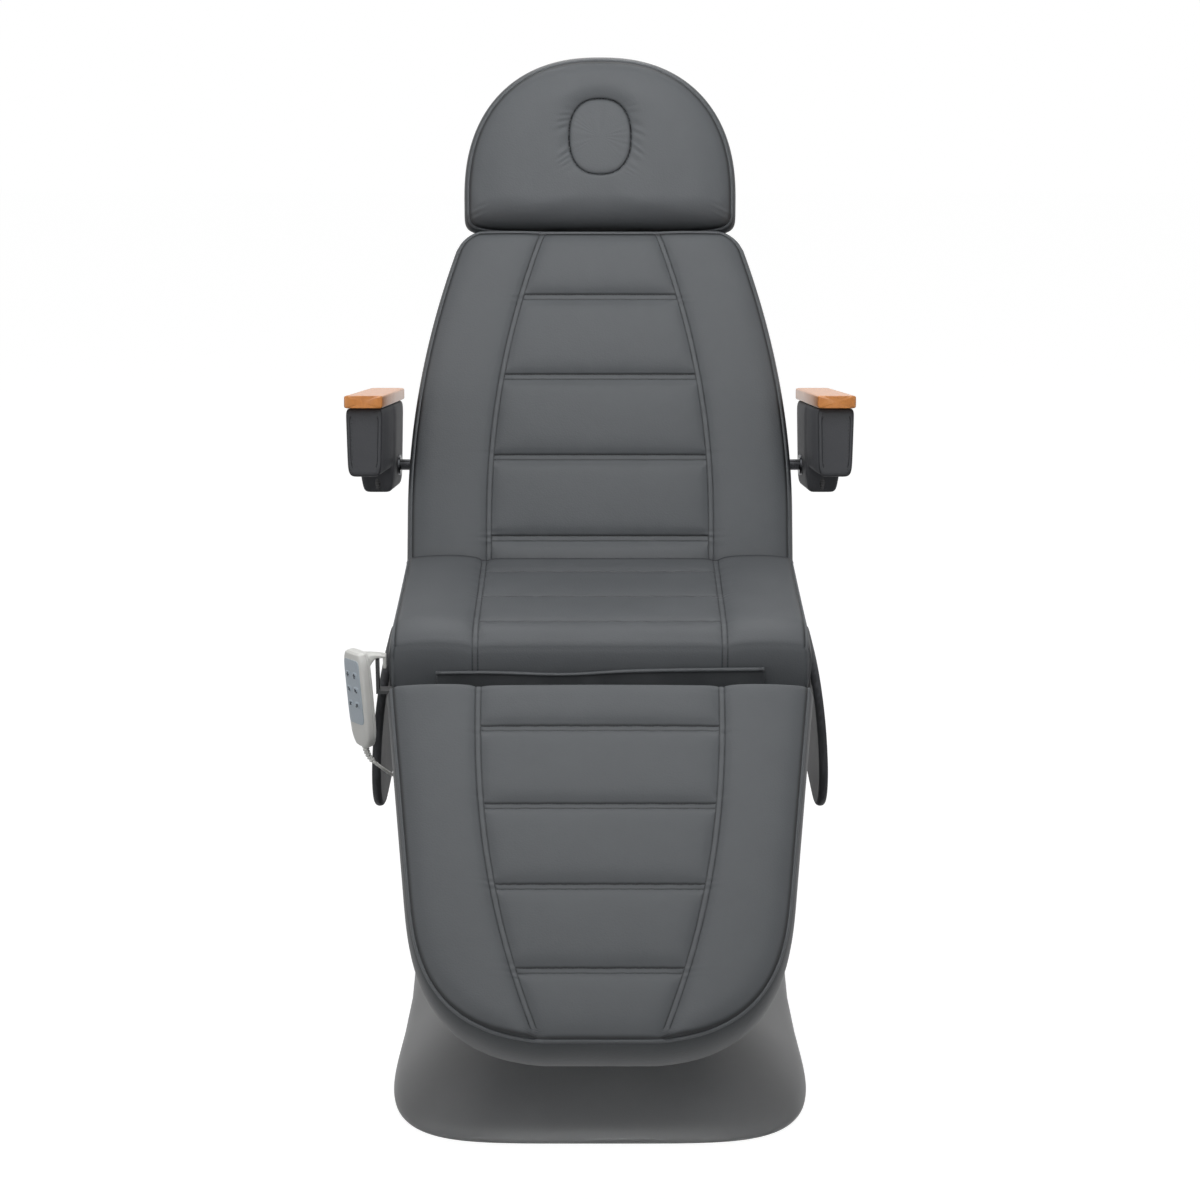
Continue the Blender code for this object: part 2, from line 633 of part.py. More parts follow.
def wing_x(z):
    """How far out the middle of a side wing lies at a height: it bows out below the seat."""
    fall = (WING_TOP - z) / (WING_TOP - WING_BOTTOM)
    return WING_TOP_X + WING_BULGE * sin(min(max(fall, 0.0) / 0.78, 1.25) * pi / 2)


seat_parts = []
for side in (-1, 1):
    rail = sorted((side * rail_inner, side * rail_outer))
    seat_parts.append(block(*rail, SEAT_RAIL_FRONT, SEAT_RAIL_BACK, rail_bottom, rail_top))
    lug = sorted((side * (rail_inner + 0.006), side * (rail_outer - 0.006)))
    lug_foot = (BACK_HINGE_Y - 0.002, rail_top - LUG_HALF)
    seat_parts.append(prism(capsule(lug_foot, back_hinge, LUG_HALF), *lug))
for y in OUTRIGGER_PLACES:
    reach = wing_x(rail_top - 0.001) - WING_THICKNESS / 2 - SEAT_GAP
    seat_parts.append(block(-reach, reach, y - OUTRIGGER_WIDTH / 2, y + OUTRIGGER_WIDTH / 2,
                            rail_top - OUTRIGGER_HEIGHT, rail_top - 0.001))
seat_frame = fuse(*seat_parts)
hinge_reach = rail_outer + 0.005
for hinge in (back_hinge, leg_hinge):
    seat_frame = cut(seat_frame, bar_x(*hinge, HINGE_PIN_RADIUS + RUN_GAP, -hinge_reach, hinge_reach, 16))
piece("seat_frame", seat_frame, STEEL, seat_joint)
for name, hinge in (("backrest_hinge_pin", back_hinge), ("legrest_hinge_pin", leg_hinge)):
    piece(name, bar_x(*hinge, HINGE_PIN_RADIUS, -hinge_reach, hinge_reach, 16), BRIGHT, seat_joint)

BOARD_INSET = 0.010
HINGE_ROOM = 0.022
board_reach = SEAT_HALF_WIDTH - BOARD_INSET
seat_board = cut(block(-board_reach, board_reach, SEAT_FRONT + BOARD_INSET, SEAT_BACK - BOARD_INSET,
                       board_bottom, seat_bottom - SEAT_GAP),
                 block(-rail_inner - 0.004, rail_inner + 0.004, SEAT_FRONT - 0.1, LEG_HINGE_Y + HINGE_ROOM,
                       board_bottom - 0.1, seat_bottom + 0.1))
piece("seat_board", seat_board, PLYWOOD, seat_joint)

SEAM_DEPTH = 0.009
SEAM_HALF = 0.011
EDGE_DROP = 0.010
BOLSTER = 0.007
PANEL_CROWN = 0.005
COLUMNS_IN_PANEL = (0.0, 0.32, 0.62, 0.84, 0.94, 1.0)
COLUMNS_AT_SIDE = (0.10, 0.28, 0.52, 0.76, 0.93, 1.0)
# (outwards, share of the thickness below the face) of the cushion's sides
SIDE_SWELL = 0.009
SIDE_STEPS = ((0.8 * SIDE_SWELL, 0.20), (SIDE_SWELL, 0.50), (-0.4 * SIDE_SWELL, 1.0))


def cushion(rows, half_width, panel, seams, face, thickness):
    """A channelled cushion in its panel's frame: a sewn middle panel between two long bolsters.

    The face rises between the seams and drops to its piped edge; the sides swell and draw in.
    """
    shape = bmesh.new()
    grid = []
    for t in rows:
        edge = half_width(t)
        middle = panel(t)
        near_end = min(t - rows[0], rows[-1] - t)
        end_drop = EDGE_DROP * exp(-(near_end / 0.013) ** 2)
        across = [c * middle for c in COLUMNS_IN_PANEL]
        across += [middle + c * (edge - middle) for c in COLUMNS_AT_SIDE]
        line = []
        for x in [-a for a in reversed(across[1:])] + across:
            off = abs(x)
            seam = SEAM_DEPTH * exp(-((off - middle) / SEAM_HALF) ** 2)
            if off <= middle + 1e-6:
                nearest = min(abs(t - s) for s in seams)
                seam = max(seam, SEAM_DEPTH * exp(-(nearest / SEAM_HALF) ** 2))
                height = PANEL_CROWN * (1 - (off / middle) ** 2) - seam - end_drop
            else:
                share = (off - middle) / (edge - middle)
                height = BOLSTER * sin(pi * share) - max(seam, EDGE_DROP * share ** 8, end_drop)
            line.append(shape.verts.new((x, t, face + height)))
        grid.append(line)
    for low, high in zip(grid, grid[1:]):
        for i in range(len(low) - 1):
            shape.faces.new((low[i], low[i + 1], high[i + 1], high[i]))
    rim = grid[0] + [line[-1] for line in grid[1:-1]] + grid[-1][::-1] + [line[0] for line in grid[-2:0:-1]]
    count = len(rim)
    plan = [v.co.xy for v in rim]
    outward = []
    for i in range(count):
        along = (plan[(i + 1) % count] - plan[i - 1]).normalized()
        outward.append(Vector((along.y, -along.x)))
    for out, share in SIDE_STEPS:
        lower = []
        for p, n in zip(plan, outward):
            lower.append(shape.verts.new((p.x + out * n.x, p.y + out * n.y, face - share * thickness)))
        for i in range(count):
            j = (i + 1) % count
            shape.faces.new((rim[j], rim[i], lower[i], lower[j]))
        rim = lower
    shape.faces.new(rim[::-1])
    bmesh.ops.recalc_face_normals(shape, faces=shape.faces)
    return shape


def cushion_rows(start, end, seams, extra=()):
    """Places along a cushion: its ends, each seam with its shoulders, and one between each pair."""
    marks = [start, start + 0.012] + [s + d for s in seams for d in (-SEAM_HALF, 0.0, SEAM_HALF)]
    marks += list(extra) + [end - 0.012, end]
    return spread(sorted(marks), 2 * SEAM_HALF)


seat_seams = [SEAT_SEAM_FIRST - k * SEAT_SEAM_PITCH for k in range(3)]
seat_rows = cushion_rows(SEAT_FRONT + SIDE_SWELL, SEAT_BACK - SIDE_SWELL, seat_seams[::-1])
seat_pad = cushion(seat_rows, lambda t: SEAT_HALF_WIDTH, lambda t: SEAT_PANEL_HALF_WIDTH, seat_seams,
                   SEAT_TOP, SEAT_THICKNESS)
piece("seat_cushion", seat_pad, VINYL, seat_joint, 60)

flap_back = SEAT_FRONT - SEAT_GAP
flap = block(-FLAP_HALF_WIDTH, FLAP_HALF_WIDTH, flap_back - FLAP_THICKNESS, flap_back, FLAP_BOTTOM, FLAP_TOP)
piece("gap_flap", flap, VINYL, seat_joint)


WING_POINTS = 28
WING_POWER = 3.6


def wing_ring(size, out):
    """One ring of a side wing's outline, bowed out below the seat."""
    middle_y = (WING_FRONT + WING_BACK) / 2
    middle_z = (WING_TOP + WING_BOTTOM) / 2
    ring = []
    for i in range(WING_POINTS):
        angle = 2 * pi * i / WING_POINTS
        y = middle_y + size * squared(cos(angle), WING_POWER) * (WING_BACK - WING_FRONT) / 2
        z = middle_z + size * squared(sin(angle), WING_POWER) * (WING_TOP - WING_BOTTOM) / 2
        ring.append((wing_x(z) + out, y, z))
    return ring


for side, hand in ((-1, "left"), (1, "right")):
    half = WING_THICKNESS / 2
    steps = [(0.5, -half), (0.965, -half), (1.0, 0.0), (0.965, half), (0.5, half)]
    wing = loft([[(side * x, y, z) for x, y, z in wing_ring(size, out)] for size, out in steps])
    piece(f"side_wing_{hand}", wing, DARK_VINYL, seat_joint, 60)

# Backrest: a tube frame on the hinge pin, a plywood board and the channelled cushion

back_joint = joint_empty("backrest_joint", (0, *back_hinge))
back_frame = panel_frame(*back_hinge, (cos(BACK_ANGLE), sin(BACK_ANGLE)))
back_rear = BACK_FACE - BACK_THICKNESS
back_board_rear = back_rear - SEAT_GAP - BOARD_THICKNESS
tube_front = back_board_rear - SEAT_GAP
tube_rear = tube_front - BACK_TUBE
tube_middle = (tube_front + tube_rear) / 2
back_end = BACK_LENGTH - SIDE_SWELL
HINGE_BARREL = 0.0135


def back_width(s):
    """Half the backrest's width: straight above the seat, then a parabola, with round top corners."""
    narrowing = (BACK_HALF_WIDTH - BACK_TOP_HALF_WIDTH) / (BACK_LENGTH - BACK_STRAIGHT) ** 2
    width = BACK_HALF_WIDTH - narrowing * max(0.0, s - BACK_STRAIGHT) ** 2
    into_corner = max(0.0, 0.96 * (s - back_end + BACK_CORNER) / BACK_CORNER)
    return width - BACK_CORNER * (1 - (1 - into_corner ** 2) ** 0.5)


BOARD_MARGIN = 0.022
BOARD_SHORT = 0.030


def flat_panel(width, start, end, rear, places=10):
    """A plywood panel that follows a cushion's outline, set in from its edge."""
    along = [start + (end - start) * k / places for k in range(places + 1)]
    half = [(width(s) - BOARD_MARGIN, s) for s in along]
    ring = half + [(-x, s) for x, s in reversed(half)]
    return loft([[(x, s, out) for x, s in ring] for out in (rear, rear + BOARD_THICKNESS)])


def in_panel(frame, point):
    """A (y, z) point of the chair in a panel's frame, as (along, out)."""
    found = frame.inverted() @ Vector((0, *point))
    return (found.y, found.z)


def along_back(x, start, end, radius):
    """A round bar up the back of the backrest, in the plane of its frame tubes."""
    return round_bar((x, start, tube_middle), (x, end, tube_middle), radius)


barrel_reach = rail_inner + 0.006 - SIDE_GAP
back_parts = [bar_x(0, 0, HINGE_BARREL, -barrel_reach, barrel_reach)]
rail_start = 0.090
GUSSET_X = 0.104
GUSSET_HALF = 0.004
for side in (-1, 1):
    gusset = sorted((side * (GUSSET_X - GUSSET_HALF), side * (GUSSET_X + GUSSET_HALF)))
    gusset_top = rail_start + BACK_TUBE
    back_parts.append(prism([(-HINGE_BARREL + 0.001, 0), (-HINGE_BARREL + 0.001, tube_rear + 0.001),
                             (gusset_top, tube_rear + 0.001), (gusset_top, tube_front - 0.001),
                             (HINGE_BARREL + 0.009, tube_front - 0.001), (HINGE_BARREL - 0.001, -0.02),
                             (HINGE_BARREL - 0.001, 0)], *gusset))
    rail = sorted((side * (BACK_RAIL_X - BACK_TUBE / 2), side * (BACK_RAIL_X + BACK_TUBE / 2)))
    back_parts.append(block(*rail, rail_start, back_end - 0.020, tube_rear, tube_front))
guide_top = back_end - 0.012
guide_foot = guide_top - HEAD_GUIDE_LENGTH
GUIDE_RADIUS = 0.0115
for s in (rail_start + BACK_TUBE / 2, guide_foot + 0.020, guide_top - 0.022):
    back_parts.append(block(-BACK_RAIL_X, BACK_RAIL_X, s - BACK_TUBE / 2, s + BACK_TUBE / 2,
                            tube_rear + 0.002, tube_front - 0.002))
arm_tube_reach = 0.285
arm_tube_radius = BACK_TUBE / 2 - RUN_GAP
back_parts.append(bar_x(ARM_PIVOT_REACH, tube_middle, arm_tube_radius, -arm_tube_reach, arm_tube_reach))
for side in (-1, 1):
    back_parts.append(along_back(side * HEAD_ROD_X, guide_foot, guide_top, GUIDE_RADIUS))
    cheek = sorted((ACTUATOR_X + side * cheek_inner, ACTUATOR_X + side * cheek_outer))
    back_parts.append(prism(capsule((0, 0), in_panel(back_frame, back_pin), CRANK_ROUND), *cheek))
back_parts.append(bar_x(*in_panel(back_frame, back_pin), ACTUATOR_PIN_RADIUS, ACTUATOR_X - crank_pin_reach,
                        ACTUATOR_X + crank_pin_reach))
arm_bore = arm_tube_reach + BORE_SPARE
bores = [bar_x(0, 0, HINGE_PIN_RADIUS + RUN_GAP, -hinge_reach, hinge_reach, 16),
         bar_x(ARM_PIVOT_REACH, tube_middle, ARM_ROD_RADIUS + RUN_GAP, -arm_bore, arm_bore)]
for side in (-1, 1):
    bores.append(along_back(side * HEAD_ROD_X, guide_foot - BORE_SPARE, guide_top + BORE_SPARE,
                            HEAD_ROD_RADIUS + RUN_GAP))
backrest_frame = cut(fuse(*back_parts), *bores)
piece("backrest_frame", placed(backrest_frame, back_frame), STEEL, back_joint)

board_start = BACK_REBATE_END + 0.004
back_board = flat_panel(back_width, board_start, back_end - BOARD_SHORT, back_board_rear)
piece("backrest_board", placed(back_board, back_frame), PLYWOOD, back_joint)

back_seams = [BACK_SEAM_FIRST + k * BACK_SEAM_PITCH for k in range(4)]
back_rows = cushion_rows(SIDE_SWELL - BACK_TAIL, back_end, back_seams, (0.015, back_end - 0.004))
back_pad = cushion(back_rows, back_width, lambda s: back_width(s) - SIDE_PANEL_WIDTH, back_seams, BACK_FACE,
                   BACK_THICKNESS)
rebate = block(-2 * BACK_HALF_WIDTH, 2 * BACK_HALF_WIDTH, -4 * BACK_TAIL, BACK_REBATE_END,
               back_rear - BACK_THICKNESS, BACK_FACE - BACK_TAIL_THICKNESS)
back_pad = cut(back_pad, rebate)
piece("backrest_cushion", placed(back_pad, back_frame), VINYL, back_joint, 60)

# Leg rest: two rails on the hinge pin, a board and a tapering cushion with a round foot

leg_joint = joint_empty("legrest_joint", (0, *leg_hinge))
leg_frame = panel_frame(*leg_hinge, (-cos(LEG_ANGLE), -sin(LEG_ANGLE)))
leg_board_rear = LEG_TUBE / 2 + SEAT_GAP
leg_rear = leg_board_rear + BOARD_THICKNESS + SEAT_GAP
leg_face = leg_rear + LEG_THICKNESS
leg_start = LEG_TOP_START + SIDE_SWELL
leg_end = LEG_TOP_START + LEG_LENGTH - SIDE_SWELL


def leg_width(s):
    """Half the leg rest's width: a straight taper, then a squared round end."""
    t = s - LEG_TOP_START
    into_end = min(max(0.0, (t - LEG_ROUND_START) / (LEG_LENGTH - LEG_END_SHORT - LEG_ROUND_START)), 0.995)
    return (LEG_HALF_WIDTH - LEG_TAPER * t) * (1 - into_end ** LEG_ROUND_POWER) ** (1 / LEG_ROUND_POWER)


def leg_panel_width(s):
    """Half the width of the leg rest's sewn middle panel."""
    return max(leg_width(s) - SIDE_PANEL_WIDTH, 0.38 * leg_width(s))


leg_rail_end = leg_end - 0.060
leg_parts = [bar_x(0, 0, LEG_TUBE / 2 + 0.0005, -rail_inner + SIDE_GAP, rail_inner - SIDE_GAP)]
for side in (-1, 1):
    rail = sorted((side * (LEG_RAIL_X - LEG_TUBE / 2), side * (LEG_RAIL_X + LEG_TUBE / 2)))
    leg_parts.append(block(*rail, 0, leg_rail_end, -LEG_TUBE / 2, LEG_TUBE / 2))
    cheek = sorted((-ACTUATOR_X + side * cheek_inner, -ACTUATOR_X + side * cheek_outer))
    leg_parts.append(prism(capsule((0, 0), in_panel(leg_frame, leg_pin), CRANK_ROUND), *cheek))
for s in (0.150, leg_rail_end - LEG_TUBE):
    leg_parts.append(block(-LEG_RAIL_X, LEG_RAIL_X, s - LEG_TUBE / 2, s + LEG_TUBE / 2,
                           0.002 - LEG_TUBE / 2, LEG_TUBE / 2 - 0.002))
leg_parts.append(bar_x(*in_panel(leg_frame, leg_pin), ACTUATOR_PIN_RADIUS, -ACTUATOR_X - crank_pin_reach,
                       -ACTUATOR_X + crank_pin_reach))
legrest_frame = cut(fuse(*leg_parts), bar_x(0, 0, HINGE_PIN_RADIUS + RUN_GAP, -hinge_reach, hinge_reach, 16))
piece("legrest_frame", placed(legrest_frame, leg_frame), STEEL, leg_joint)
leg_board = flat_panel(leg_width, leg_start + 0.004, leg_end - BOARD_SHORT, leg_board_rear, 16)
piece("legrest_board", placed(leg_board, leg_frame), PLYWOOD, leg_joint)
leg_seams = [LEG_TOP_START + LEG_SEAM_FIRST + k * LEG_SEAM_PITCH for k in range(4)]
leg_rows = cushion_rows(leg_start, leg_end, leg_seams, [leg_end - d for d in (0.060, 0.035, 0.022, 0.005)])
leg_pad = cushion(leg_rows, leg_width, leg_panel_width, leg_seams, leg_face, LEG_THICKNESS)
piece("legrest_cushion", placed(leg_pad, leg_frame), VINYL, leg_joint, 60)

# Headrest: a fork that slides in the backrest, a tilting bracket, a board, the cushion and face plug

head_pivot_reach = BACK_LENGTH + HEAD_PIVOT_ABOVE
head_pivot = back_frame @ Vector((0, head_pivot_reach, tube_middle))
slide_joint = joint_empty("headrest_slide_joint", head_pivot)
head_joint = joint_empty("headrest_tilt_joint", head_pivot)
head_frame = panel_frame(head_pivot.y, head_pivot.z, (cos(HEAD_ANGLE), sin(HEAD_ANGLE)))
head_rear = HEAD_FACE - HEAD_THICKNESS
head_board_rear = head_rear - SEAT_GAP - BOARD_THICKNESS
PIVOT_TUBE_RADIUS = 0.009
fork_reach = HEAD_ROD_X + 0.018
fork_parts = [bar_x(head_pivot_reach, tube_middle, PIVOT_TUBE_RADIUS, -fork_reach, fork_reach)]
for side in (-1, 1):
    fork_parts.append(along_back(side * HEAD_ROD_X, head_pivot_reach - HEAD_ROD_LENGTH, head_pivot_reach,
                                 HEAD_ROD_RADIUS))
piece("headrest_fork", placed(fuse(*fork_parts), back_frame), BRIGHT, slide_joint)

BRACKET_HALF = 0.055
NECK_HALF = 0.054
HEAD_PLATE_HALF = 0.075
HEAD_PLATE_LOW = -0.020
HEAD_PLATE_HIGH = 0.048
HEAD_PLATE_SHEET = 0.007
bracket = fuse(bar_x(0, 0, PIVOT_TUBE_RADIUS + 0.006, -BRACKET_HALF, BRACKET_HALF),
               block(-NECK_HALF, NECK_HALF, -0.008, 0.008, 0.004, head_board_rear - 0.004),
               block(-HEAD_PLATE_HALF, HEAD_PLATE_HALF, HEAD_PLATE_LOW, HEAD_PLATE_HIGH,
                     head_board_rear - HEAD_PLATE_SHEET, head_board_rear - SEAT_GAP))
bracket = cut(bracket, bar_x(0, 0, PIVOT_TUBE_RADIUS + RUN_GAP, -HEAD_PLATE_HALF, HEAD_PLATE_HALF))
piece("headrest_bracket", placed(bracket, head_frame), STEEL, head_joint)


HEAD_POINTS = 40
HEAD_ROLL = 0.030
HEAD_ROLL_LENGTH = 0.050
HEAD_CROWN = 0.013
HEAD_LOWER_SHIFT = -0.002  # of the lower edge, from the start


def head_outline(inset):
    """The headrest's plan: a high round arch over a nearly straight lower edge."""
    ring = []
    for i in range(HEAD_POINTS):
        angle = 2 * pi * i / HEAD_POINTS
        if sin(angle) >= 0:
            reach, power = HEAD_LENGTH - HEAD_WIDEST - inset, HEAD_ROUND_POWER
        else:
            reach, power = HEAD_WIDEST - HEAD_LOWER_SHIFT - inset, 3.5
        ring.append(Vector(((HEAD_HALF_WIDTH - inset) * squared(cos(angle), power),
                            HEAD_START + HEAD_WIDEST + reach * squared(sin(angle), power))))
    return ring


def plug_outline(grow):
    """The oval of the face hole."""
    return [Vector(((PLUG_HALF_WIDTH + grow) * cos(2 * pi * i / HEAD_POINTS),
                    HEAD_START + PLUG_CENTRE + (PLUG_HALF_HEIGHT + grow) * sin(2 * pi * i / HEAD_POINTS)))
            for i in range(HEAD_POINTS)]


def head_surface(share):
    """A ring of the headrest's face, from its piped edge (0) to the face hole (1)."""
    ring = []
    for outer, inner in zip(head_outline(0.009), plug_outline(0.0)):
        spot = outer.lerp(inner, share)
        height = HEAD_FACE - EDGE_DROP + (EDGE_DROP + HEAD_CROWN) * min(1.0, 5 * share) ** 0.5
        height -= 0.6 * HEAD_CROWN * max(0.0, 2.5 * share - 1.5) ** 2
        rolled = max(0.0, 1 - (spot.y - HEAD_START - HEAD_LOWER_SHIFT) / HEAD_ROLL_LENGTH)
        ring.append((spot.x, spot.y, height - HEAD_ROLL * rolled ** 2))
    return ring


def level(outline, height):
    return [(p.x, p.y, height) for p in outline]


head_rings = [level(head_outline(0.012), head_rear),
              level(head_outline(0.002), head_rear + 0.30 * HEAD_THICKNESS)]
head_rings += [[(p.x, p.y, min(HEAD_FACE - 0.24 * HEAD_THICKNESS, s[2] - 0.004))
                for p, s in zip(head_outline(0.001), head_surface(0.0))]]
head_rings += [head_surface(share) for share in (0.0, 0.07, 0.2, 0.45, 0.75, 0.93, 1.0)]
head_rings += [level(plug_outline(0.0), head_rear)]
piece("headrest_cushion", placed(loft(head_rings, wrap=True), head_frame), VINYL, head_joint, 60)
head_board_front = head_rear - SEAT_GAP
board_rings = [level(head_outline(0.024), head_board_rear), level(head_outline(0.024), head_board_front),
               level(plug_outline(0.004), head_board_front), level(plug_outline(0.004), head_board_rear)]
piece("headrest_board", placed(loft(board_rings, wrap=True), head_frame), PLYWOOD, head_joint)

plug_joint = joint_empty("face_plug_joint", head_frame @ Vector((0, HEAD_START + PLUG_CENTRE, HEAD_FACE)))
# (inset from the hole, height) of the plug, from its rear to its crowned front
PLUG_STEPS = ((0.006, head_rear + 0.001), (PLUG_CLEARANCE, head_rear + 0.006),
              (PLUG_CLEARANCE, HEAD_FACE + 0.003), (0.007, HEAD_FACE + 0.010), (0.022, HEAD_FACE + 0.014),
              (0.040, HEAD_FACE + 0.015))
plug_rings = [level(plug_outline(-inset), height) for inset, height in PLUG_STEPS]
piece("face_plug", placed(loft(plug_rings), head_frame), VINYL, plug_joint, 60)

# Armrests: a padded body on a rod that turns in the backrest's cross tube, with a beech top

arm_pivot = back_frame @ Vector((0, ARM_PIVOT_REACH, tube_middle))
arm_frame = panel_frame(ARM_TIP_Y, ARM_TIP_Z, (cos(ARM_TILT), -sin(ARM_TILT)))
ARM_FRONT_DEPTH = 0.105
ARM_REAR_DEPTH = 0.144
ARM_REAR_START = 0.235
ARM_PAD_LENGTH = 0.440
ARM_ROD_INNER = 0.160
ARM_ROD_INSIDE = 0.038
ARM_COLLAR = 0.016
PAD_ROUND = 0.005
pad_top = -ARM_WOOD - SEAT_GAP
front_low = pad_top - ARM_FRONT_DEPTH
rear_low = pad_top - ARM_REAR_DEPTH
PAD_OUTLINE = [(0.005, pad_top), (0.005, front_low + 0.022), (0.012, front_low + 0.006), (0.028, front_low),
               (ARM_REAR_START - 0.04, front_low), (ARM_REAR_START, front_low - 0.020),
               (ARM_REAR_START + 0.03, rear_low), (ARM_PAD_LENGTH - 0.03, rear_low),
               (ARM_PAD_LENGTH - 0.008, rear_low + 0.010), (ARM_PAD_LENGTH, rear_low + 0.035),
               (ARM_PAD_LENGTH, pad_top)]
for side, hand in ((-1, "left"), (1, "right")):
    arm_joint = joint_empty(f"armrest_{hand}_joint", (0, arm_pivot.y, arm_pivot.z))
    wood = sorted((side * ARM_INNER_X, side * ARM_OUTER_X))
    top = placed(block(*wood, 0, ARM_LENGTH, -ARM_WOOD, 0, 0.003), arm_frame)
    piece(f"armrest_top_{hand}", top, WOOD, arm_joint)
    inner = side * (ARM_INNER_X + 0.002)
    pad = prism(PAD_OUTLINE, *sorted((inner, side * (ARM_OUTER_X - 0.003))))
    chamfer(pad, PAD_ROUND)
    bore = sorted((inner - side * 0.02, inner + side * (ARM_ROD_INSIDE + SIDE_GAP)))
    pad = cut(placed(pad, arm_frame), bar_x(arm_pivot.y, arm_pivot.z, ARM_ROD_RADIUS + RUN_GAP, *bore))
    piece(f"armrest_pad_{hand}", pad, DARK_VINYL, arm_joint)
    collar = sorted((side * (ARM_INNER_X - 0.014), inner - side * SEAT_GAP))
    rod_ends = sorted((side * ARM_ROD_INNER, inner + side * ARM_ROD_INSIDE))
    rod = fuse(bar_x(arm_pivot.y, arm_pivot.z, ARM_ROD_RADIUS, *rod_ends),
               bar_x(arm_pivot.y, arm_pivot.z, ARM_COLLAR, *collar))
    piece(f"armrest_rod_{hand}", rod, BRIGHT, arm_joint)

# Handset: two shells on a bracket at the seat's left, a keypad with six keys, and its lead

sheet = BRACKET_SHEET
leg_x = BRACKET_LEG_X
holder_top = board_bottom - SEAT_GAP
leg_half = BRACKET_HALF_WIDTH - 0.0005
holder = fuse(block(leg_x - sheet, BRACKET_INNER_X, -BRACKET_HALF_WIDTH, BRACKET_HALF_WIDTH,
                    holder_top - sheet, holder_top),
              block(leg_x - sheet, leg_x, -leg_half, leg_half, holder_top - sheet + 0.0005, BRACKET_TOP))
piece("handset_bracket", placed(holder, Matrix.Translation((0, BRACKET_Y, 0))), STEEL, seat_joint)

handset_place = Vector((HANDSET_X, HANDSET_Y, HANDSET_TOP))
handset_joint = joint_empty("handset_joint", handset_place)
handset_turn = Matrix.Rotation(HANDSET_LEAN, 4, "Y") @ Matrix.Rotation(HANDSET_TURN, 4, "Z")
handset_frame = Matrix.Translation(handset_place) @ handset_turn
# (share of the length below the top, share of the width, share of the depth)
CASE_STEPS = ((0.0, 0.62, 0.55), (0.035, 0.88, 0.88), (0.16, 1.0, 1.0), (0.62, 1.0, 1.0), (0.86, 0.92, 0.95),
              (0.965, 0.70, 0.80), (1.0, 0.46, 0.50))


def case_shape():
    """The handset's closed case: squared ovals that narrow to both ends."""
    oval = [(squared(cos(2 * pi * i / 24), 4), squared(sin(2 * pi * i / 24), 4)) for i in range(24)]
    rings = []
    for down, wide, deep in CASE_STEPS:
        half_width = HANDSET_WIDTH / 2 * wide
        half_depth = HANDSET_DEPTH / 2 * deep
        height = -HANDSET_LENGTH * down
        rings.append([(half_width * across, half_depth * out, height) for across, out in oval])
    return loft(rings)


SPLIT = 0.002
floor_y = -HANDSET_DEPTH / 2 + KEYPAD_SUNK
front_shell = cut(case_shape(), block(-0.1, 0.1, SPLIT, 0.1, -0.3, 0.1),
                  block(-KEYPAD_HALF_WIDTH - SEAT_GAP, KEYPAD_HALF_WIDTH + SEAT_GAP, -0.1, floor_y,
                        -KEYPAD_TOP - KEYPAD_LENGTH - SEAT_GAP, -KEYPAD_TOP + SEAT_GAP))
piece("handset_front_shell", placed(front_shell, handset_frame), HANDSET_PLASTIC, handset_joint)
HOOK_HALF = 0.006
HOOK_SHEET = 0.006
HOOK_DROP = 0.016
rear_shell = placed(cut(case_shape(), block(-0.1, 0.1, -0.1, SPLIT + SEAT_GAP, -0.3, 0.1)), handset_frame)
hook_end = leg_x + 0.0110
tongue_half = HOOK_HALF - 0.0005
hook = fuse(block(HANDSET_X + 0.0075, hook_end - 0.0005, -HOOK_HALF, HOOK_HALF, 0, HOOK_SHEET),
            block(hook_end - 0.0050, hook_end, -tongue_half, tongue_half, -HOOK_DROP, HOOK_SHEET - 0.0005))
rear_shell = fuse(rear_shell, placed(hook, Matrix.Translation((0, BRACKET_Y, BRACKET_TOP + SEAT_GAP))))
piece("handset_rear_shell", rear_shell, HANDSET_PLASTIC, handset_joint)

key_places = [(x * KEY_PITCH_X / 2, -KEY_FIRST - row * KEY_PITCH_Z) for row in range(3) for x in (-1, 1)]
KEY_NAMES = ("lift_down", "lift_up", "back_down", "back_up", "leg_down", "leg_up")


def key_ring(x, z, half, y):
    """A ring of a key's rounded square."""
    angles = [2 * pi * (i + 0.5) / 12 for i in range(12)]
    return [(x + half * squared(cos(a), 5), y, z + half * squared(sin(a), 5)) for a in angles]


panel_rear = floor_y - SEAT_GAP
keypad = block(-KEYPAD_HALF_WIDTH, KEYPAD_HALF_WIDTH, panel_rear - KEYPAD_THICKNESS, panel_rear,
               -KEYPAD_TOP - KEYPAD_LENGTH, -KEYPAD_TOP)
key_rear = floor_y - SEAT_GAP - KEY_TRAVEL - SEAT_GAP
key_half = KEY_SIDE / 2
for (x, z), name in zip(key_places, KEY_NAMES):
    through = (panel_rear + KEYPAD_THICKNESS, panel_rear - 2 * KEYPAD_THICKNESS)
    keypad = cut(keypad, loft([key_ring(x, z, key_half + RUN_GAP, y) for y in through]))
    key = [key_ring(x, z, key_half, key_rear), key_ring(x, z, key_half, key_rear - KEY_HEIGHT + 0.0008),
           key_ring(x, z, key_half - 0.0010, key_rear - KEY_HEIGHT)]
    key_joint = joint_empty(f"key_{name}_joint", handset_frame @ Vector((x, key_rear - KEY_HEIGHT, z)))
    piece(f"key_{name}", placed(loft(key), handset_frame), HANDSET_PLASTIC, key_joint)
piece("keypad_panel", placed(keypad, handset_frame), KEYPAD_FILM, handset_joint)

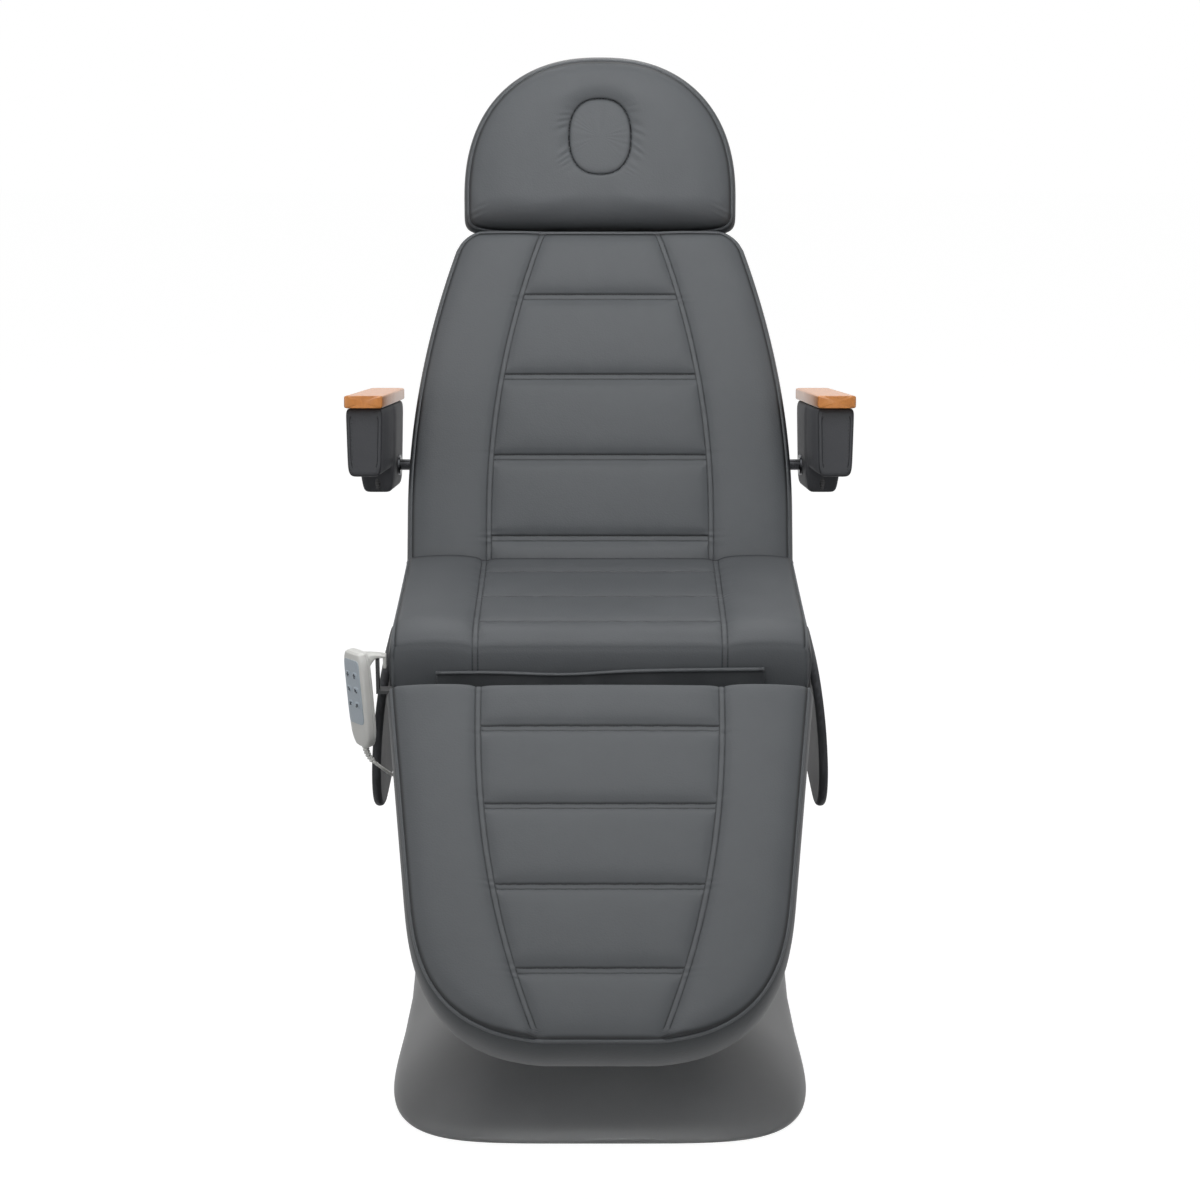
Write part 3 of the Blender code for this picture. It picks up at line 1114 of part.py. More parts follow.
BOX_FRONT = -0.062
BOX_BACK = 0.080
BOX_OUTER = -0.260
BOX_INNER = -0.165
BOX_HEIGHT = 0.046
GLAND_X = -0.210
GLAND_LENGTH = 0.012
GLAND_RADIUS = 0.007
box_top = board_bottom - SEAT_GAP
gland_z = box_top - 0.5 * BOX_HEIGHT - 0.008
gland_ends = [(GLAND_X, BOX_BACK - 0.004, gland_z), (GLAND_X, BOX_BACK + GLAND_LENGTH, gland_z)]
control_box = fuse(block(BOX_OUTER, BOX_INNER, BOX_FRONT, BOX_BACK, box_top - BOX_HEIGHT, box_top, 0.003),
                   round_bar(*gland_ends, GLAND_RADIUS))
piece("control_box", control_box, BLACK_PLASTIC, seat_joint)
INLET_HALF_WIDTH = 0.0135
INLET_HALF_HEIGHT = 0.0100
INLET_DEPTH = 0.014
INLET_WALL = 0.002
INLET_Y = 0.010
socket_half_width = INLET_HALF_WIDTH - INLET_WALL
socket_half_height = INLET_HALF_HEIGHT - INLET_WALL
inlet = cut(block(-INLET_HALF_WIDTH, INLET_HALF_WIDTH, -INLET_HALF_HEIGHT, INLET_HALF_HEIGHT,
                  -INLET_DEPTH, 0),
            block(-socket_half_width, socket_half_width, -socket_half_height, socket_half_height,
                  -2 * INLET_DEPTH, -INLET_WALL))
inlet = placed(inlet, Matrix.Translation((GLAND_X, INLET_Y, box_top - BOX_HEIGHT - SEAT_GAP)))
piece("mains_inlet", inlet, BLACK_PLASTIC, seat_joint)

RELIEF_RIBS = 6
RELIEF_LENGTH = 0.032
RELIEF_RADIUS = 0.0042
RELIEF_TAPER = 0.0012
RIB_SWELL = 0.0011
relief_start = handset_frame @ Vector((0, 0, -HANDSET_LENGTH - SEAT_GAP))
case_down = -handset_frame.col[2].xyz
relief_run = Vector((0.72, 0.06, -0.69)).normalized()


def relief_place(share):
    """A place along the strain relief, which leaves the case straight and bends towards the wing."""
    bend = share ** 2 / 2
    return relief_start + RELIEF_LENGTH * (case_down * (share - bend) + relief_run * bend)


def relief_ring(share, radius):
    """A ring round the strain relief, square to its bend."""
    turn = case_down.lerp(relief_run, share).to_track_quat("Z", "Y").to_matrix()
    return [relief_place(share) + turn @ Vector((across, up, 0)) for across, up in circle(0, 0, radius, 8)]


relief_rings = []
for rib in range(RELIEF_RIBS):
    for step, swell in ((0.0, RIB_SWELL), (0.5, RIB_SWELL), (0.6, 0.0), (0.9, 0.0)):
        share = (rib + step) / RELIEF_RIBS
        relief_rings.append(relief_ring(share, RELIEF_RADIUS - RELIEF_TAPER * share + swell))
piece("strain_relief", loft(relief_rings[:-1]), HANDSET_PLASTIC, handset_joint)

relief_end = (RELIEF_RIBS - 0.4) / RELIEF_RIBS
cord_run = case_down.lerp(relief_run, relief_end).normalized()
cord_start = relief_place(relief_end) + cord_run * SEAT_GAP
# From the strain relief, along behind the left wing, and up to the control box's gland
CORD_ROUTE = [cord_start, cord_start + cord_run * 0.016, (-0.320, -0.158, 0.438), (-0.307, -0.125, 0.407),
              (-0.302, -0.070, 0.392), (-0.300, 0.000, 0.391), (-0.296, 0.070, 0.402),
              (-0.290, 0.125, 0.428), (-0.276, 0.160, 0.470), (-0.252, 0.174, 0.512), (-0.228, 0.163, 0.543),
              (-0.213, 0.135, gland_z - 0.001), (GLAND_X, 0.112, gland_z),
              (GLAND_X, BOX_BACK + GLAND_LENGTH + SEAT_GAP, gland_z)]


def smooth_route(points, between=3):
    """Points along a smooth curve through a cord's own points."""
    knots = [Vector(p) for p in points]
    ends = [2 * knots[0] - knots[1]] + knots + [2 * knots[-1] - knots[-2]]
    route = []
    for a, b, c, d in zip(ends, ends[1:], ends[2:], ends[3:]):
        for k in range(between):
            u = k / between
            route.append(0.5 * (2 * b + (c - a) * u + (2 * a - 5 * b + 4 * c - d) * u * u
                                + (3 * b - a - 3 * c + d) * u ** 3))
    return route + [knots[-1]]


cord = bpy.data.curves.new("handset_cord", "CURVE")
cord.dimensions = "3D"
cord.bevel_depth = CORD_RADIUS
cord.bevel_resolution = 1
cord.use_fill_caps = True
cord.materials.append(HANDSET_PLASTIC)
line = cord.splines.new("POLY")
route = smooth_route(CORD_ROUTE)
line.points.add(len(route) - 1)
for spot, place in zip(line.points, route):
    spot.co = (*place, 1.0)
cord_piece = bpy.data.objects.new("handset_cord", cord)
bpy.context.scene.collection.objects.link(cord_piece)
cord_piece.parent = seat_joint
cord_piece.matrix_parent_inverse = Matrix.Translation(seat_joint.location).inverted()
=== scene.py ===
import bmesh
import bpy
import numpy as np
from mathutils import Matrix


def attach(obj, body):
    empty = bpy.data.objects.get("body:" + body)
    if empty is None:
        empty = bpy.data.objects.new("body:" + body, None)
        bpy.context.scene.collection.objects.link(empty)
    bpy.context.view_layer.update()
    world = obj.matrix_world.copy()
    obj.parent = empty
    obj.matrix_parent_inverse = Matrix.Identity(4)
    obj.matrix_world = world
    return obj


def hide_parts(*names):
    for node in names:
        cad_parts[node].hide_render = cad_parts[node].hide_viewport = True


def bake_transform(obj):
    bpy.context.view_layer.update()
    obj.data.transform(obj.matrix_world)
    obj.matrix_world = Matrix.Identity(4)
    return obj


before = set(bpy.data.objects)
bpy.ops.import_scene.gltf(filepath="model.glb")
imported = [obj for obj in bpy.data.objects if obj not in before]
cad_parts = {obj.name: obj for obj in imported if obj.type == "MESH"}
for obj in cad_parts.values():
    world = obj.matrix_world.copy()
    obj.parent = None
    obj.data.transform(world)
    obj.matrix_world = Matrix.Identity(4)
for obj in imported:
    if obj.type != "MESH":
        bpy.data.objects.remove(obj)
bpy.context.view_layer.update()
scene = bpy.context.scene

# The studio: a pale floor and a white room, with a large soft lamp over the front of the chair, one by the
# camera, and others low in front, at the sides and behind. The camera stands 4 m off, above head height.


def linear(colour):
    """An sRGB hex colour as linear red, green, blue and alpha: ((c + .055) / 1.055) ^ 2.4 above .04045."""
    c = np.array([int(colour[i:i + 2], 16) / 255 for i in (1, 3, 5)])
    return (*np.where(c > .04045, ((c + .055) / 1.055) ** 2.4, c / 12.92), 1.0)


def add_node(tree, kind, sockets=None, **settings):
    """Add a node: settings are set on it, and each socket is linked to an output or filled with a value."""
    node = tree.nodes.new(kind)
    for name, value in settings.items():
        setattr(node, name, value)
    for name, value in (sockets or {}).items():
        if isinstance(value, bpy.types.NodeSocket):
            tree.links.new(value, node.inputs[name])
        else:
            node.inputs[name].default_value = value
    return node


def empty_tree(owner):
    """The cleared node tree of a world or a material."""
    owner.use_nodes = True
    owner.node_tree.nodes.clear()
    return owner.node_tree


def sight_rays(tree):
    """1 for rays that show the room, straight, mirrored or through glass, and 0 for light on the chair."""
    ray = add_node(tree, "ShaderNodeLightPath").outputs
    seen = ray["Is Camera Ray"]
    for kind in ("Is Glossy Ray", "Is Transmission Ray"):
        seen = add_node(tree, "ShaderNodeMath", {0: seen, 1: ray[kind]}, operation="MAXIMUM").outputs[0]
    return seen


scene.view_settings.view_transform = "Standard"
camera = bpy.data.objects.new("front_camera", bpy.data.cameras.new("front_camera"))
camera.location = (0, -3.924, 1.884)
camera.rotation_euler = (np.radians(73), 0, 0)
camera.data.lens, camera.data.sensor_width = 79.9, 36
scene.collection.objects.link(camera)
scene.camera = camera

for name, place, turn, size, beam, watts in (
        ("front_lamp", (0, -.60, 2.20), (52, 0, 0), (1.4, 1.4), 180, 16.0),
        ("fill_lamp", (0, -3.5, 2.2), (68, 0, 0), (1.6, 1.6), 180, 12),
        ("left_lamp", (-3.0, -1.9, 1.3), (80, 0, -58), (2.0, 2.0), 180, 14),
        ("right_lamp", (3.0, -1.6, 1.5), (76, 0, 62), (2.0, 2.0), 180, 6),
        ("low_lamp", (0, -2.3, .11), (87, 0, 0), (1.4, .16), 26, .38),
        ("rear_lamp", (0, 1.7, 2.8), (-38, 0, 0), (1.8, 1.8), 180, 24)):
    lamp = bpy.data.objects.new(name, bpy.data.lights.new(name, "AREA"))
    lamp.data.shape, lamp.data.energy, lamp.data.spread = "ELLIPSE", watts, np.radians(beam)
    lamp.data.size, lamp.data.size_y = size
    lamp.location, lamp.rotation_euler = place, np.radians(turn)
    scene.collection.objects.link(lamp)

scene.world = bpy.data.worlds.new("white_room")
tree = empty_tree(scene.world)
level = add_node(tree, "ShaderNodeMapRange", {"Value": sight_rays(tree), "To Min": .17, "To Max": 1.0})
sky = add_node(tree, "ShaderNodeBackground", {"Color": (1, 1, 1, 1), "Strength": level.outputs[0]})
add_node(tree, "ShaderNodeOutputWorld", {"Surface": sky.outputs[0]})

studio_paper = bpy.data.materials.new("studio_paper")
tree = empty_tree(studio_paper)
lift = add_node(tree, "ShaderNodeMath", {0: sight_rays(tree), 1: .95}, operation="MULTIPLY")
glow = add_node(tree, "ShaderNodeEmission", {"Strength": lift.outputs[0]})
paper = add_node(tree, "ShaderNodeBsdfDiffuse", {"Color": linear("#8c8c8c")})
both = add_node(tree, "ShaderNodeAddShader", {0: glow.outputs[0], 1: paper.outputs[0]})
add_node(tree, "ShaderNodeOutputMaterial", {"Surface": both.outputs[0]})
floor = bpy.data.meshes.new("studio_floor")
floor.from_pydata([(-9, -9, 0), (9, -9, 0), (9, 9, 0), (-9, 9, 0)], [], [(0, 1, 2, 3)])
floor.materials.append(studio_paper)
floor = bpy.data.objects.new("studio_floor", floor)
scene.collection.objects.link(floor)

# The handset's cord: a round PVC-sheathed signal cable, 5 mm thick, moulded into the strain relief. It hangs
# behind the left side wing, rises there and goes into the control box under the seat.


def smooth_route(points, steps=8):
    """A Catmull-Rom curve: each span is a cubic whose end slopes are half its neighbours' chord."""
    p = np.array(points, float)
    p = np.vstack([2 * p[:1] - p[1:2], p, 2 * p[-1:] - p[-2:-1]])
    t = np.linspace(0, 1, steps, endpoint=False)[None, :, None]
    a, b, c, d = p[:-3, None], p[1:-2, None], p[2:-1, None], p[3:, None]
    run = b + .5 * ((c - a) * t + (2 * a - 5 * b + 4 * c - d) * t ** 2 + (3 * b - a - 3 * c + d) * t ** 3)
    return np.vstack([run.reshape(-1, 3), p[-2]])


def tube(path, radius, reference, sides=12, closed=False):
    """A circle carried along a path: centre + r (cos a side + sin a up), with side = run x reference.
    An open tube draws in to a point at both ends; radius may differ from point to point."""
    path = np.asarray(path, float)
    run = np.roll(path, -1, 0) - np.roll(path, 1, 0) if closed else np.gradient(path, axis=0)
    run /= np.linalg.norm(run, axis=1, keepdims=True)
    side = np.cross(run, reference)
    side /= np.linalg.norm(side, axis=1, keepdims=True)
    up = np.cross(side, run)
    a = np.linspace(0, 2 * np.pi, sides, endpoint=False)[None, :, None]
    r = np.broadcast_to(radius, len(path))[:, None, None]
    grid = path[:, None] + r * (np.cos(a) * side[:, None] + np.sin(a) * up[:, None])
    if closed:
        return np.concatenate([grid, grid[:1]])
    return np.concatenate([np.repeat(path[:1, None], sides, 1), grid, np.repeat(path[-1:, None], sides, 1)])


def put(mesh, material, body):
    """Add a mesh as a piece that rides on a body. The cord names none, because it is blended between two."""
    mesh.materials.append(material)
    piece = bpy.data.objects.new(mesh.name, mesh)
    scene.collection.objects.link(piece)
    if body:
        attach(piece, body)
    return piece


def sew(name, grids, material, body, sharp=None, thread_and_shade=None, wrapped=True):
    """One mesh of several grids of points, with touching edges merged. wrapped says whether their columns
    close up, for all grids or for each. The darkness argument is how dark thread and painted shade make each
    point; edges over sharp degrees stay sharp."""
    points, faces, first = [], [], 0
    for grid, closed in zip(grids, np.broadcast_to(wrapped, len(grids))):
        rows, columns = grid.shape[:2]
        left = first + np.arange(rows * columns).reshape(rows, columns)
        right = np.roll(left, -1, 1) if closed else left[:, 1:]
        left = left if closed else left[:, :-1]
        faces.append(np.stack([left[:-1], right[:-1], right[1:], left[1:]], -1).reshape(-1, 4))
        points.append(grid.reshape(-1, 3))
        first += rows * columns
    mesh = bpy.data.meshes.new(name)
    mesh.from_pydata(np.vstack(points), [], np.vstack(faces).tolist())
    if thread_and_shade is not None:
        layer = mesh.attributes.new("thread_and_shade", "FLOAT", "POINT")
        values = np.concatenate([np.ravel(v) for v in thread_and_shade])
        layer.data.foreach_set("value", values.astype(np.float32))
    shape = bmesh.new()
    shape.from_mesh(mesh)
    bmesh.ops.remove_doubles(shape, verts=shape.verts, dist=2e-6)
    bmesh.ops.recalc_face_normals(shape, faces=shape.faces)
    shape.to_mesh(mesh)
    shape.free()
    mesh.shade_smooth()
    if sharp:
        mesh.set_sharp_from_angle(angle=np.radians(sharp))
    return put(mesh, material, body)


def new_finish(name):
    """An empty material, its node tree, and the piece's own coordinates for the textures."""
    made = bpy.data.materials.new(name)
    tree = empty_tree(made)
    return made, tree, add_node(tree, "ShaderNodeTexCoord").outputs["Object"]


def noise(tree, spot, size, detail=2.0, **more):
    """Cloudy noise whose largest spots are about size metres across."""
    sockets = {"Vector": spot, "Scale": 1 / size, "Detail": detail, **more}
    return add_node(tree, "ShaderNodeTexNoise", sockets).outputs[0]


def between(tree, share, low, high):
    """A tone between two sRGB colours, the first of which may be a tone itself, or a plain value."""
    if isinstance(high, str):
        low = linear(low) if isinstance(low, str) else low
        sockets = {0: share, 6: low, 7: linear(high)}
        return add_node(tree, "ShaderNodeMix", sockets, data_type="RGBA").outputs[2]
    return add_node(tree, "ShaderNodeMapRange", {"Value": share, "To Min": low, "To Max": high}).outputs[0]


def relief(tree, height, strength, depth):
    """Bumps of the given depth in metres."""
    sockets = {"Height": height, "Strength": strength, "Distance": depth}
    return add_node(tree, "ShaderNodeBump", sockets).outputs[0]


def coat(tree, tone, roughness, **more):
    """Close a material with one surface; further sockets are named with _ for a space."""
    sockets = {"Base Color": tone, "Roughness": roughness}
    sockets.update({name.replace("_", " "): value for name, value in more.items()})
    skin = add_node(tree, "ShaderNodeBsdfPrincipled", sockets)
    add_node(tree, "ShaderNodeOutputMaterial", {"Surface": skin.outputs[0]})


# Off-white ABS, injection moulded with a fine spark-eroded texture: an even satin, a little yellowed.
off_white_abs, tree, spot = new_finish("off_white_moulded_abs")
grit = noise(tree, spot, .0008)
coat(tree, between(tree, noise(tree, spot, .030, 3.0), "#ecece7", "#f5f5f2"), between(tree, grit, .34, .50),
     IOR=1.53, Normal=relief(tree, grit, .12, .0004))

CORD_THICK = .005
cord_route = smooth_route([(-.34016, -.16915, .48233), (-.3295, -.1640, .4715), (-.318, -.148, .456),
                           (-.305, -.118, .436), (-.300, -.070, .412), (-.298, 0, .400), (-.295, .070, .407),
                           (-.289, .125, .430), (-.276, .160, .470), (-.252, .174, .512), (-.228, .163, .543),
                           (-.213, .135, .5644), (-.210, .112, .5654), (-.210, .0923, .5654)])
handset_cord = sew("handset_lead", [tube(cord_route, CORD_THICK / 2, (1, 0, 0))], off_white_abs, None)
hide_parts("handset_cord")
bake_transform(handset_cord)

# The base cover: one vacuum-formed ABS shell, a low rounded plinth with a flat deck and a well for the lift.
# It hides the welded frame, stands on that frame's posts, and its rim hangs 6 mm over the floor.
RIM_GAP, DECK, COVER_WALL = .006, .112, .004


def oval(angle, power):
    """A squared circle: sign(cos) |cos| ^ (2 / power), and the same with sin."""
    c, s = np.cos(angle), np.sin(angle)
    return np.sign(c) * abs(c) ** (2 / power), np.sign(s) * abs(s) ** (2 / power)


def room(x, y, z):
    """Points straight in the chair's own frame."""
    return np.stack(np.broadcast_arrays(x, y, z), -1)


# Grey ABS, vacuum formed over a grained tool: a soft satin with slight clouding.
grey_abs, tree, spot = new_finish("grey_vacuum_formed_abs")
clouds = noise(tree, spot, .090, 4.0)
grain = add_node(tree, "ShaderNodeTexVoronoi", {"Vector": spot, "Scale": 1 / .0016}).outputs["Distance"]
coat(tree, between(tree, clouds, "#616263", "#6e6f70"), between(tree, clouds, .40, .54), IOR=1.53,
     Normal=relief(tree, grain, .16, .0005))


def cover_ring(inset, height, angle):
    """A level ring of the cover: a squared oval of power 5, drawn in by .023 (1 - along^2)^2 at its waist."""
    across, along = oval(angle, 5)
    half = .325 - inset - .023 * (1 - along ** 2) ** 2
    return room(half * across, (.472 - inset) * along, height)


def well_ring(grow, height, angle):
    """A level ring of the well in the deck: a squared oval of power 8 between y -.305 and .268."""
    across, along = oval(angle, 8)
    return room((.150 + grow) * across, -.0185 + (.2865 + grow) * along, height)


turn = np.linspace(0, 2 * np.pi, 176, endpoint=False)
rise = smooth_route([(.0015, RIM_GAP, 0), (0, .009, 0), (.0006, .0160, 0), (.008, .0290, 0),
                     (.025, .0460, 0), (.051, .0690, 0), (.080, .0920, 0), (.100, .1060, 0),
                     (.112, .1108, 0), (.120, DECK, 0)], 5)
outer = cover_ring(rise[:, :1], rise[:, 1:2], turn)
inner = cover_ring(rise[:, :1] + COVER_WALL, np.maximum(rise[:, 1:2] - COVER_WALL, RIM_GAP), turn)
share = np.linspace(0, 1, 8)[:, None, None]
deck = outer[-1] * (1 - share) + well_ring(.002, DECK, turn) * share
roof = inner[-1] * (1 - share) + well_ring(COVER_WALL, DECK - COVER_WALL, turn) * share
lip = np.stack([well_ring(g, h, turn) for g, h in ((.0008, .1115), (0, .1100), (0, .1005), (.0006, .1000),
                                                   (.0034, .1000), (COVER_WALL, .1005))])
shell = np.concatenate([outer, deck[1:], lip, roof[::-1], inner[-2::-1], outer[:1]])
base_cover = sew("base_moulding", [shell], grey_abs, "base", sharp=50)
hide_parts("base_cover")

# The base frame: welded square tube and laser-cut plate, phosphated and powder coated dark grey.
# Four turned rubber feet screw into its rails.

# Powder coat on steel: baked polyester with a fine orange peel about 2 mm across.
powder_coat, tree, spot = new_finish("powder_coated_steel_finish")
clouds = noise(tree, spot, .040, 3.0)
coat(tree, between(tree, clouds, "#2c2d2f", "#37383a"), between(tree, clouds, .34, .46),
     Normal=relief(tree, noise(tree, spot, .002, 1.0), .22, .0004))
for name in ("base_frame", "lower_lift_arm", "upper_link_left", "upper_link_right", "carriage_plate_left",
             "carriage_plate_right", "seat_frame", "backrest_frame", "legrest_frame", "headrest_bracket",
             "handset_bracket"):
    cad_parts[name].data.materials[0] = powder_coat

# Moulded rubber: near black, dull, a little bloom on its faces.
foot_rubber, tree, spot = new_finish("moulded_rubber")
bloom = noise(tree, spot, .008, 4.0)
coat(tree, between(tree, bloom, "#161616", "#262625"), .78, IOR=1.52, Normal=relief(tree, bloom, .2, .0005))

foot_profile = np.array([(0, 0), (.0185, 0), (.0203, .0007), (.021, .0022), (.0206, .0060), (.0192, .0078),
                         (.0186, .0105), (.0180, .0134), (.0174, .0137), (0, .0137)])
around = np.linspace(0, 2 * np.pi, 40, endpoint=False)
for end, y in (("front", -.345), ("rear", .345)):
    for hand, x in (("left", -.195), ("right", .195)):
        r, z = foot_profile[:, :1], foot_profile[:, 1:]
        foot = room(x + r * np.cos(around), y + r * np.sin(around), z)
        foot = sew(f"rubber_foot_{end}_{hand}", [foot], foot_rubber, "base", sharp=40)
        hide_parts(f"foot_{end}_{hand}")

# The lift's four shafts and the two hinge pins: turned bright steel bars with chamfered ends.
# The shafts are held by spring clips outside the plates, the pins by their fit in the frame.


def turned(place, x, s, o, profile, axis, sides=36):
    """A turned piece: a circle of the profile's radius at each step along x (axis 0) or along s (axis 1)."""
    profile = np.array(profile, float)
    a = np.linspace(0, 2 * np.pi, sides, endpoint=False)
    step, c, d = profile[:, :1], profile[:, 1:] * np.cos(a), profile[:, 1:] * np.sin(a)
    return place(x + step, s + c, o + d) if axis == 0 else place(x + c, s + step, o + d)


def turned_steel(name, dark, light):
    """Turned steel, a mirror of its colour blurred by turning marks: bright zinc plated, and for the armrest
    rods darkened as a painted reflection of dark surroundings.
    """
    made, tree, spot = new_finish(name)
    marks = noise(tree, spot, .003, 4.0)
    coat(tree, between(tree, marks, dark, light), between(tree, marks, .16, .34), Metallic=1.0)
    return made


def bar_profile(half, r):
    """A bar with chamfered ends, for turned."""
    return [(-half, 0), (-half, r - CHAMFER), (CHAMFER - half, r), (half - CHAMFER, r), (half, r - CHAMFER),
            (half, 0)]


bright_steel = turned_steel("bright_plated_steel", "#8f9194", "#aaabac")
CHAMFER, CLIP_IN, CLIP_OUT = .0012, .1302, .1316
for name, y, z, half, r, body in (("base_lower_shaft", .200, .165, .134, .010, "base"),
                                  ("base_upper_shaft", .200, .285, .134, .010, "base"),
                                  ("carriage_lower_shaft", -.1477, .2582, .134, .010, "seat"),
                                  ("carriage_upper_shaft", -.1477, .3782, .134, .010, "seat"),
                                  ("backrest_hinge_pin", .237, .640, .145, .006, "seat"),
                                  ("legrest_hinge_pin", -.150, .585, .145, .006, "seat")):
    parts = [turned(room, 0, y, z, bar_profile(half, r), 0)]
    if "shaft" in name:
        low, high = r - .0004, r + .0030
        clip = np.array([(CLIP_IN, low), (CLIP_IN, high), (CLIP_OUT, high), (CLIP_OUT, low), (CLIP_IN, low)])
        parts += [turned(room, 0, y, z, clip * (side, 1), 0) for side in (-1, 1)]
    shaft = sew("turned_" + name, parts, bright_steel, body, sharp=30)
    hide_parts(name)

# Three linear actuators: a glass-filled nylon gearbox with its motor hung below it, a steel outer tube with a
# nylon end guide, and a bright screw rod with an eye. Each swings on a pin and pushes a crank.


def panel(y, z, run):
    """Across, along and out of a tilted part to the room: (y, z) + s run + o out, out being square to run."""
    out = -run[1] * np.sign(run[0]), abs(run[0])

    def place(x, s, o):
        return room(x, y + s * run[0] + o * out[0], z + s * run[1] + o * out[1])
    return place


def squared_box(place, x, o, half_x, half_o, steps, power=7, sides=48):
    """A moulded box: a squared oval at each step along s, drawn in by the step's share of the half sizes."""
    across, out = oval(np.linspace(0, 2 * np.pi, sides, endpoint=False), power)
    s, share = np.array(steps, float).T[:, :, None]
    return place(x + share * half_x * across, s, o + share * half_o * out)


def ends_in(low, high, round_off):
    """Steps of a moulded box from low to high with rounded ends: (place, share of the section)."""
    return [(low, 0), (low, .86), (low + .3 * round_off, .96), (low + round_off, 1), (high - round_off, 1),
            (high - .3 * round_off, .96), (high, .86), (high, 0)]


def eye(hole, wall, half, chamfer):
    """A rod's eye as a profile for turned: a ring round the hole, chamfered outside."""
    rim = hole + wall
    return [(-half, hole), (-half, rim - chamfer), (chamfer - half, rim), (half - chamfer, rim),
            (half, rim - chamfer), (half, hole), (-half, hole)]


# Black glass-filled nylon: dense moulded plastic with a fine matt texture.
black_nylon, tree, spot = new_finish("black_moulded_nylon")
grit = noise(tree, spot, .0018, 3.0)
coat(tree, between(tree, grit, "#17181a", "#242527"), .52, IOR=1.53, Normal=relief(tree, grit, .15, .0003))
for name in ("control_box", "mains_inlet"):
    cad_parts[name].data.materials[0] = black_nylon

PIN_R, ROD_R, TUBE_R, MOTOR_DROP = .005, .008, .019, -.044
for name, x, anchor, pin, slack, tube_end, rod_start, shift in (
        ("lift", 0, (-.270, .130), (.17606, .23078), .0025, .300, .200, (.0005, .0019)),
        ("back", .050, (-.100, .400), (.27147, .61107), .0060, .270, .205, (-.0010, .0009)),
        ("leg", -.050, (.060, .525), (-.14425, .53030), .0036, .140, .096, (.0003, .0024))):
    length = np.hypot(pin[0] - anchor[0], pin[1] - anchor[1])
    place = panel(*anchor, ((pin[0] - anchor[0]) / length, (pin[1] - anchor[1]) / length))
    neck = squared_box(place, x, 0, .008, .0085, ends_in(.007, .0165, .001))
    gearbox = squared_box(place, x, -.0185, .024, .0425, ends_in(.014, .060, .004))
    joint = [(.0455, .9), (.0455, 1), (.0475, 1), (.0475, .9)]
    joint_line = squared_box(place, x, -.0185, .0246, .0431, joint)
    barrel = [(.054, 0), (.054, TUBE_R), (tube_end - .012, TUBE_R), (tube_end - .012, .0195),
              (tube_end - .001, .0195), (tube_end, .0185), (tube_end, .0087), (tube_end - .004, .0086),
              (tube_end - .004, 0)]
    can = [(.055, 0), (.055, .019), (.062, .0190), (.064, .0184), (.136, .0184), (.138, .019), (.1435, .019),
           (.145, .0172), (.145, .0060), (.1452, .0055), (.1452, 0)]
    parts = (turned(place, x, 0, 0, eye(.00615, .00535, .008, .001), 0), neck, gearbox, joint_line,
             turned(place, x, 0, 0, barrel, 1), turned(place, x, 0, MOTOR_DROP, can, 1))
    motor = sew(name + "_actuator_body", parts, black_nylon, name + "_motor_body",
                sharp=35)
    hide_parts(name + "_motor")
    hole = PIN_R + slack
    reach = length + shift[0]
    rod_end = reach - hole - .0025
    rod = [(rod_start, 0), (rod_start, ROD_R), (rod_end - .0075, ROD_R), (rod_end - .0065, .0074),
           (rod_end, .0074), (rod_end, 0)]
    loop = turned(place, x, reach, shift[1], eye(hole, .0055, .008, .0007), 0)
    rod = sew(name + "_actuator_rod", [turned(place, x, 0, 0, rod, 1), loop], bright_steel,
              name + "_rod_body", sharp=35)
    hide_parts(name + "_rod")

# The seat cushion: grey PVC-coated cloth sewn over foam on a plywood board. A middle panel with three cross
# seams lies between two side bolsters; piping runs along the sides and down the boxed front.
TWIN = .008  # between the two thread lines along each bolster


def vinyl(name, dark, light, gloss):
    """Embossed PVC-coated cloth: a soft satin over a pebble grain, darkened by dark thread and by painted
    shade where its attribute says.
    The real grain is about 1 mm; it is drawn at 2.4 mm, so that it shows."""
    made, tree, spot = new_finish(name)
    clouds = noise(tree, spot, .070, 4.0)
    thread_and_shade = add_node(tree, "ShaderNodeAttribute", attribute_name="thread_and_shade").outputs["Fac"]
    pebble = add_node(tree, "ShaderNodeTexVoronoi", {"Vector": spot, "Scale": 1 / .0024, "Smoothness": .6},
                      feature="SMOOTH_F1").outputs["Distance"]
    grain = add_node(tree, "ShaderNodeMath", {0: noise(tree, spot, .022, 3.0), 1: 1.6, 2: pebble},
                     operation="MULTIPLY_ADD").outputs[0]
    # Towards #242527 where the attribute says: dark thread, and painted shade in grooves, creases and on
    # shaded faces.
    tone = between(tree, thread_and_shade, between(tree, clouds, dark, light), "#242527")
    coat(tree, tone, between(tree, clouds, .48, .60), Specular_IOR_Level=gloss,
         Normal=relief(tree, grain, .22, .0009))
    return made


grey_vinyl = vinyl("grey_embossed_vinyl", "#575a5d", "#626568", .30)
# The piping's vinyl is a lighter copy of the grey vinyl: a painted highlight on the round cord.
lit_piping_vinyl = vinyl("grey_vinyl_lit_for_piping", "#5b5e61", "#66696c", .30)

# Bonded polyester thread, dark grey, twisted: it shows as a row of short dull beads.
sewing_thread, tree, spot = new_finish("dark_polyester_thread")
coat(tree, between(tree, noise(tree, spot, .0015), "#2b2c2e", "#48494b"), .7)


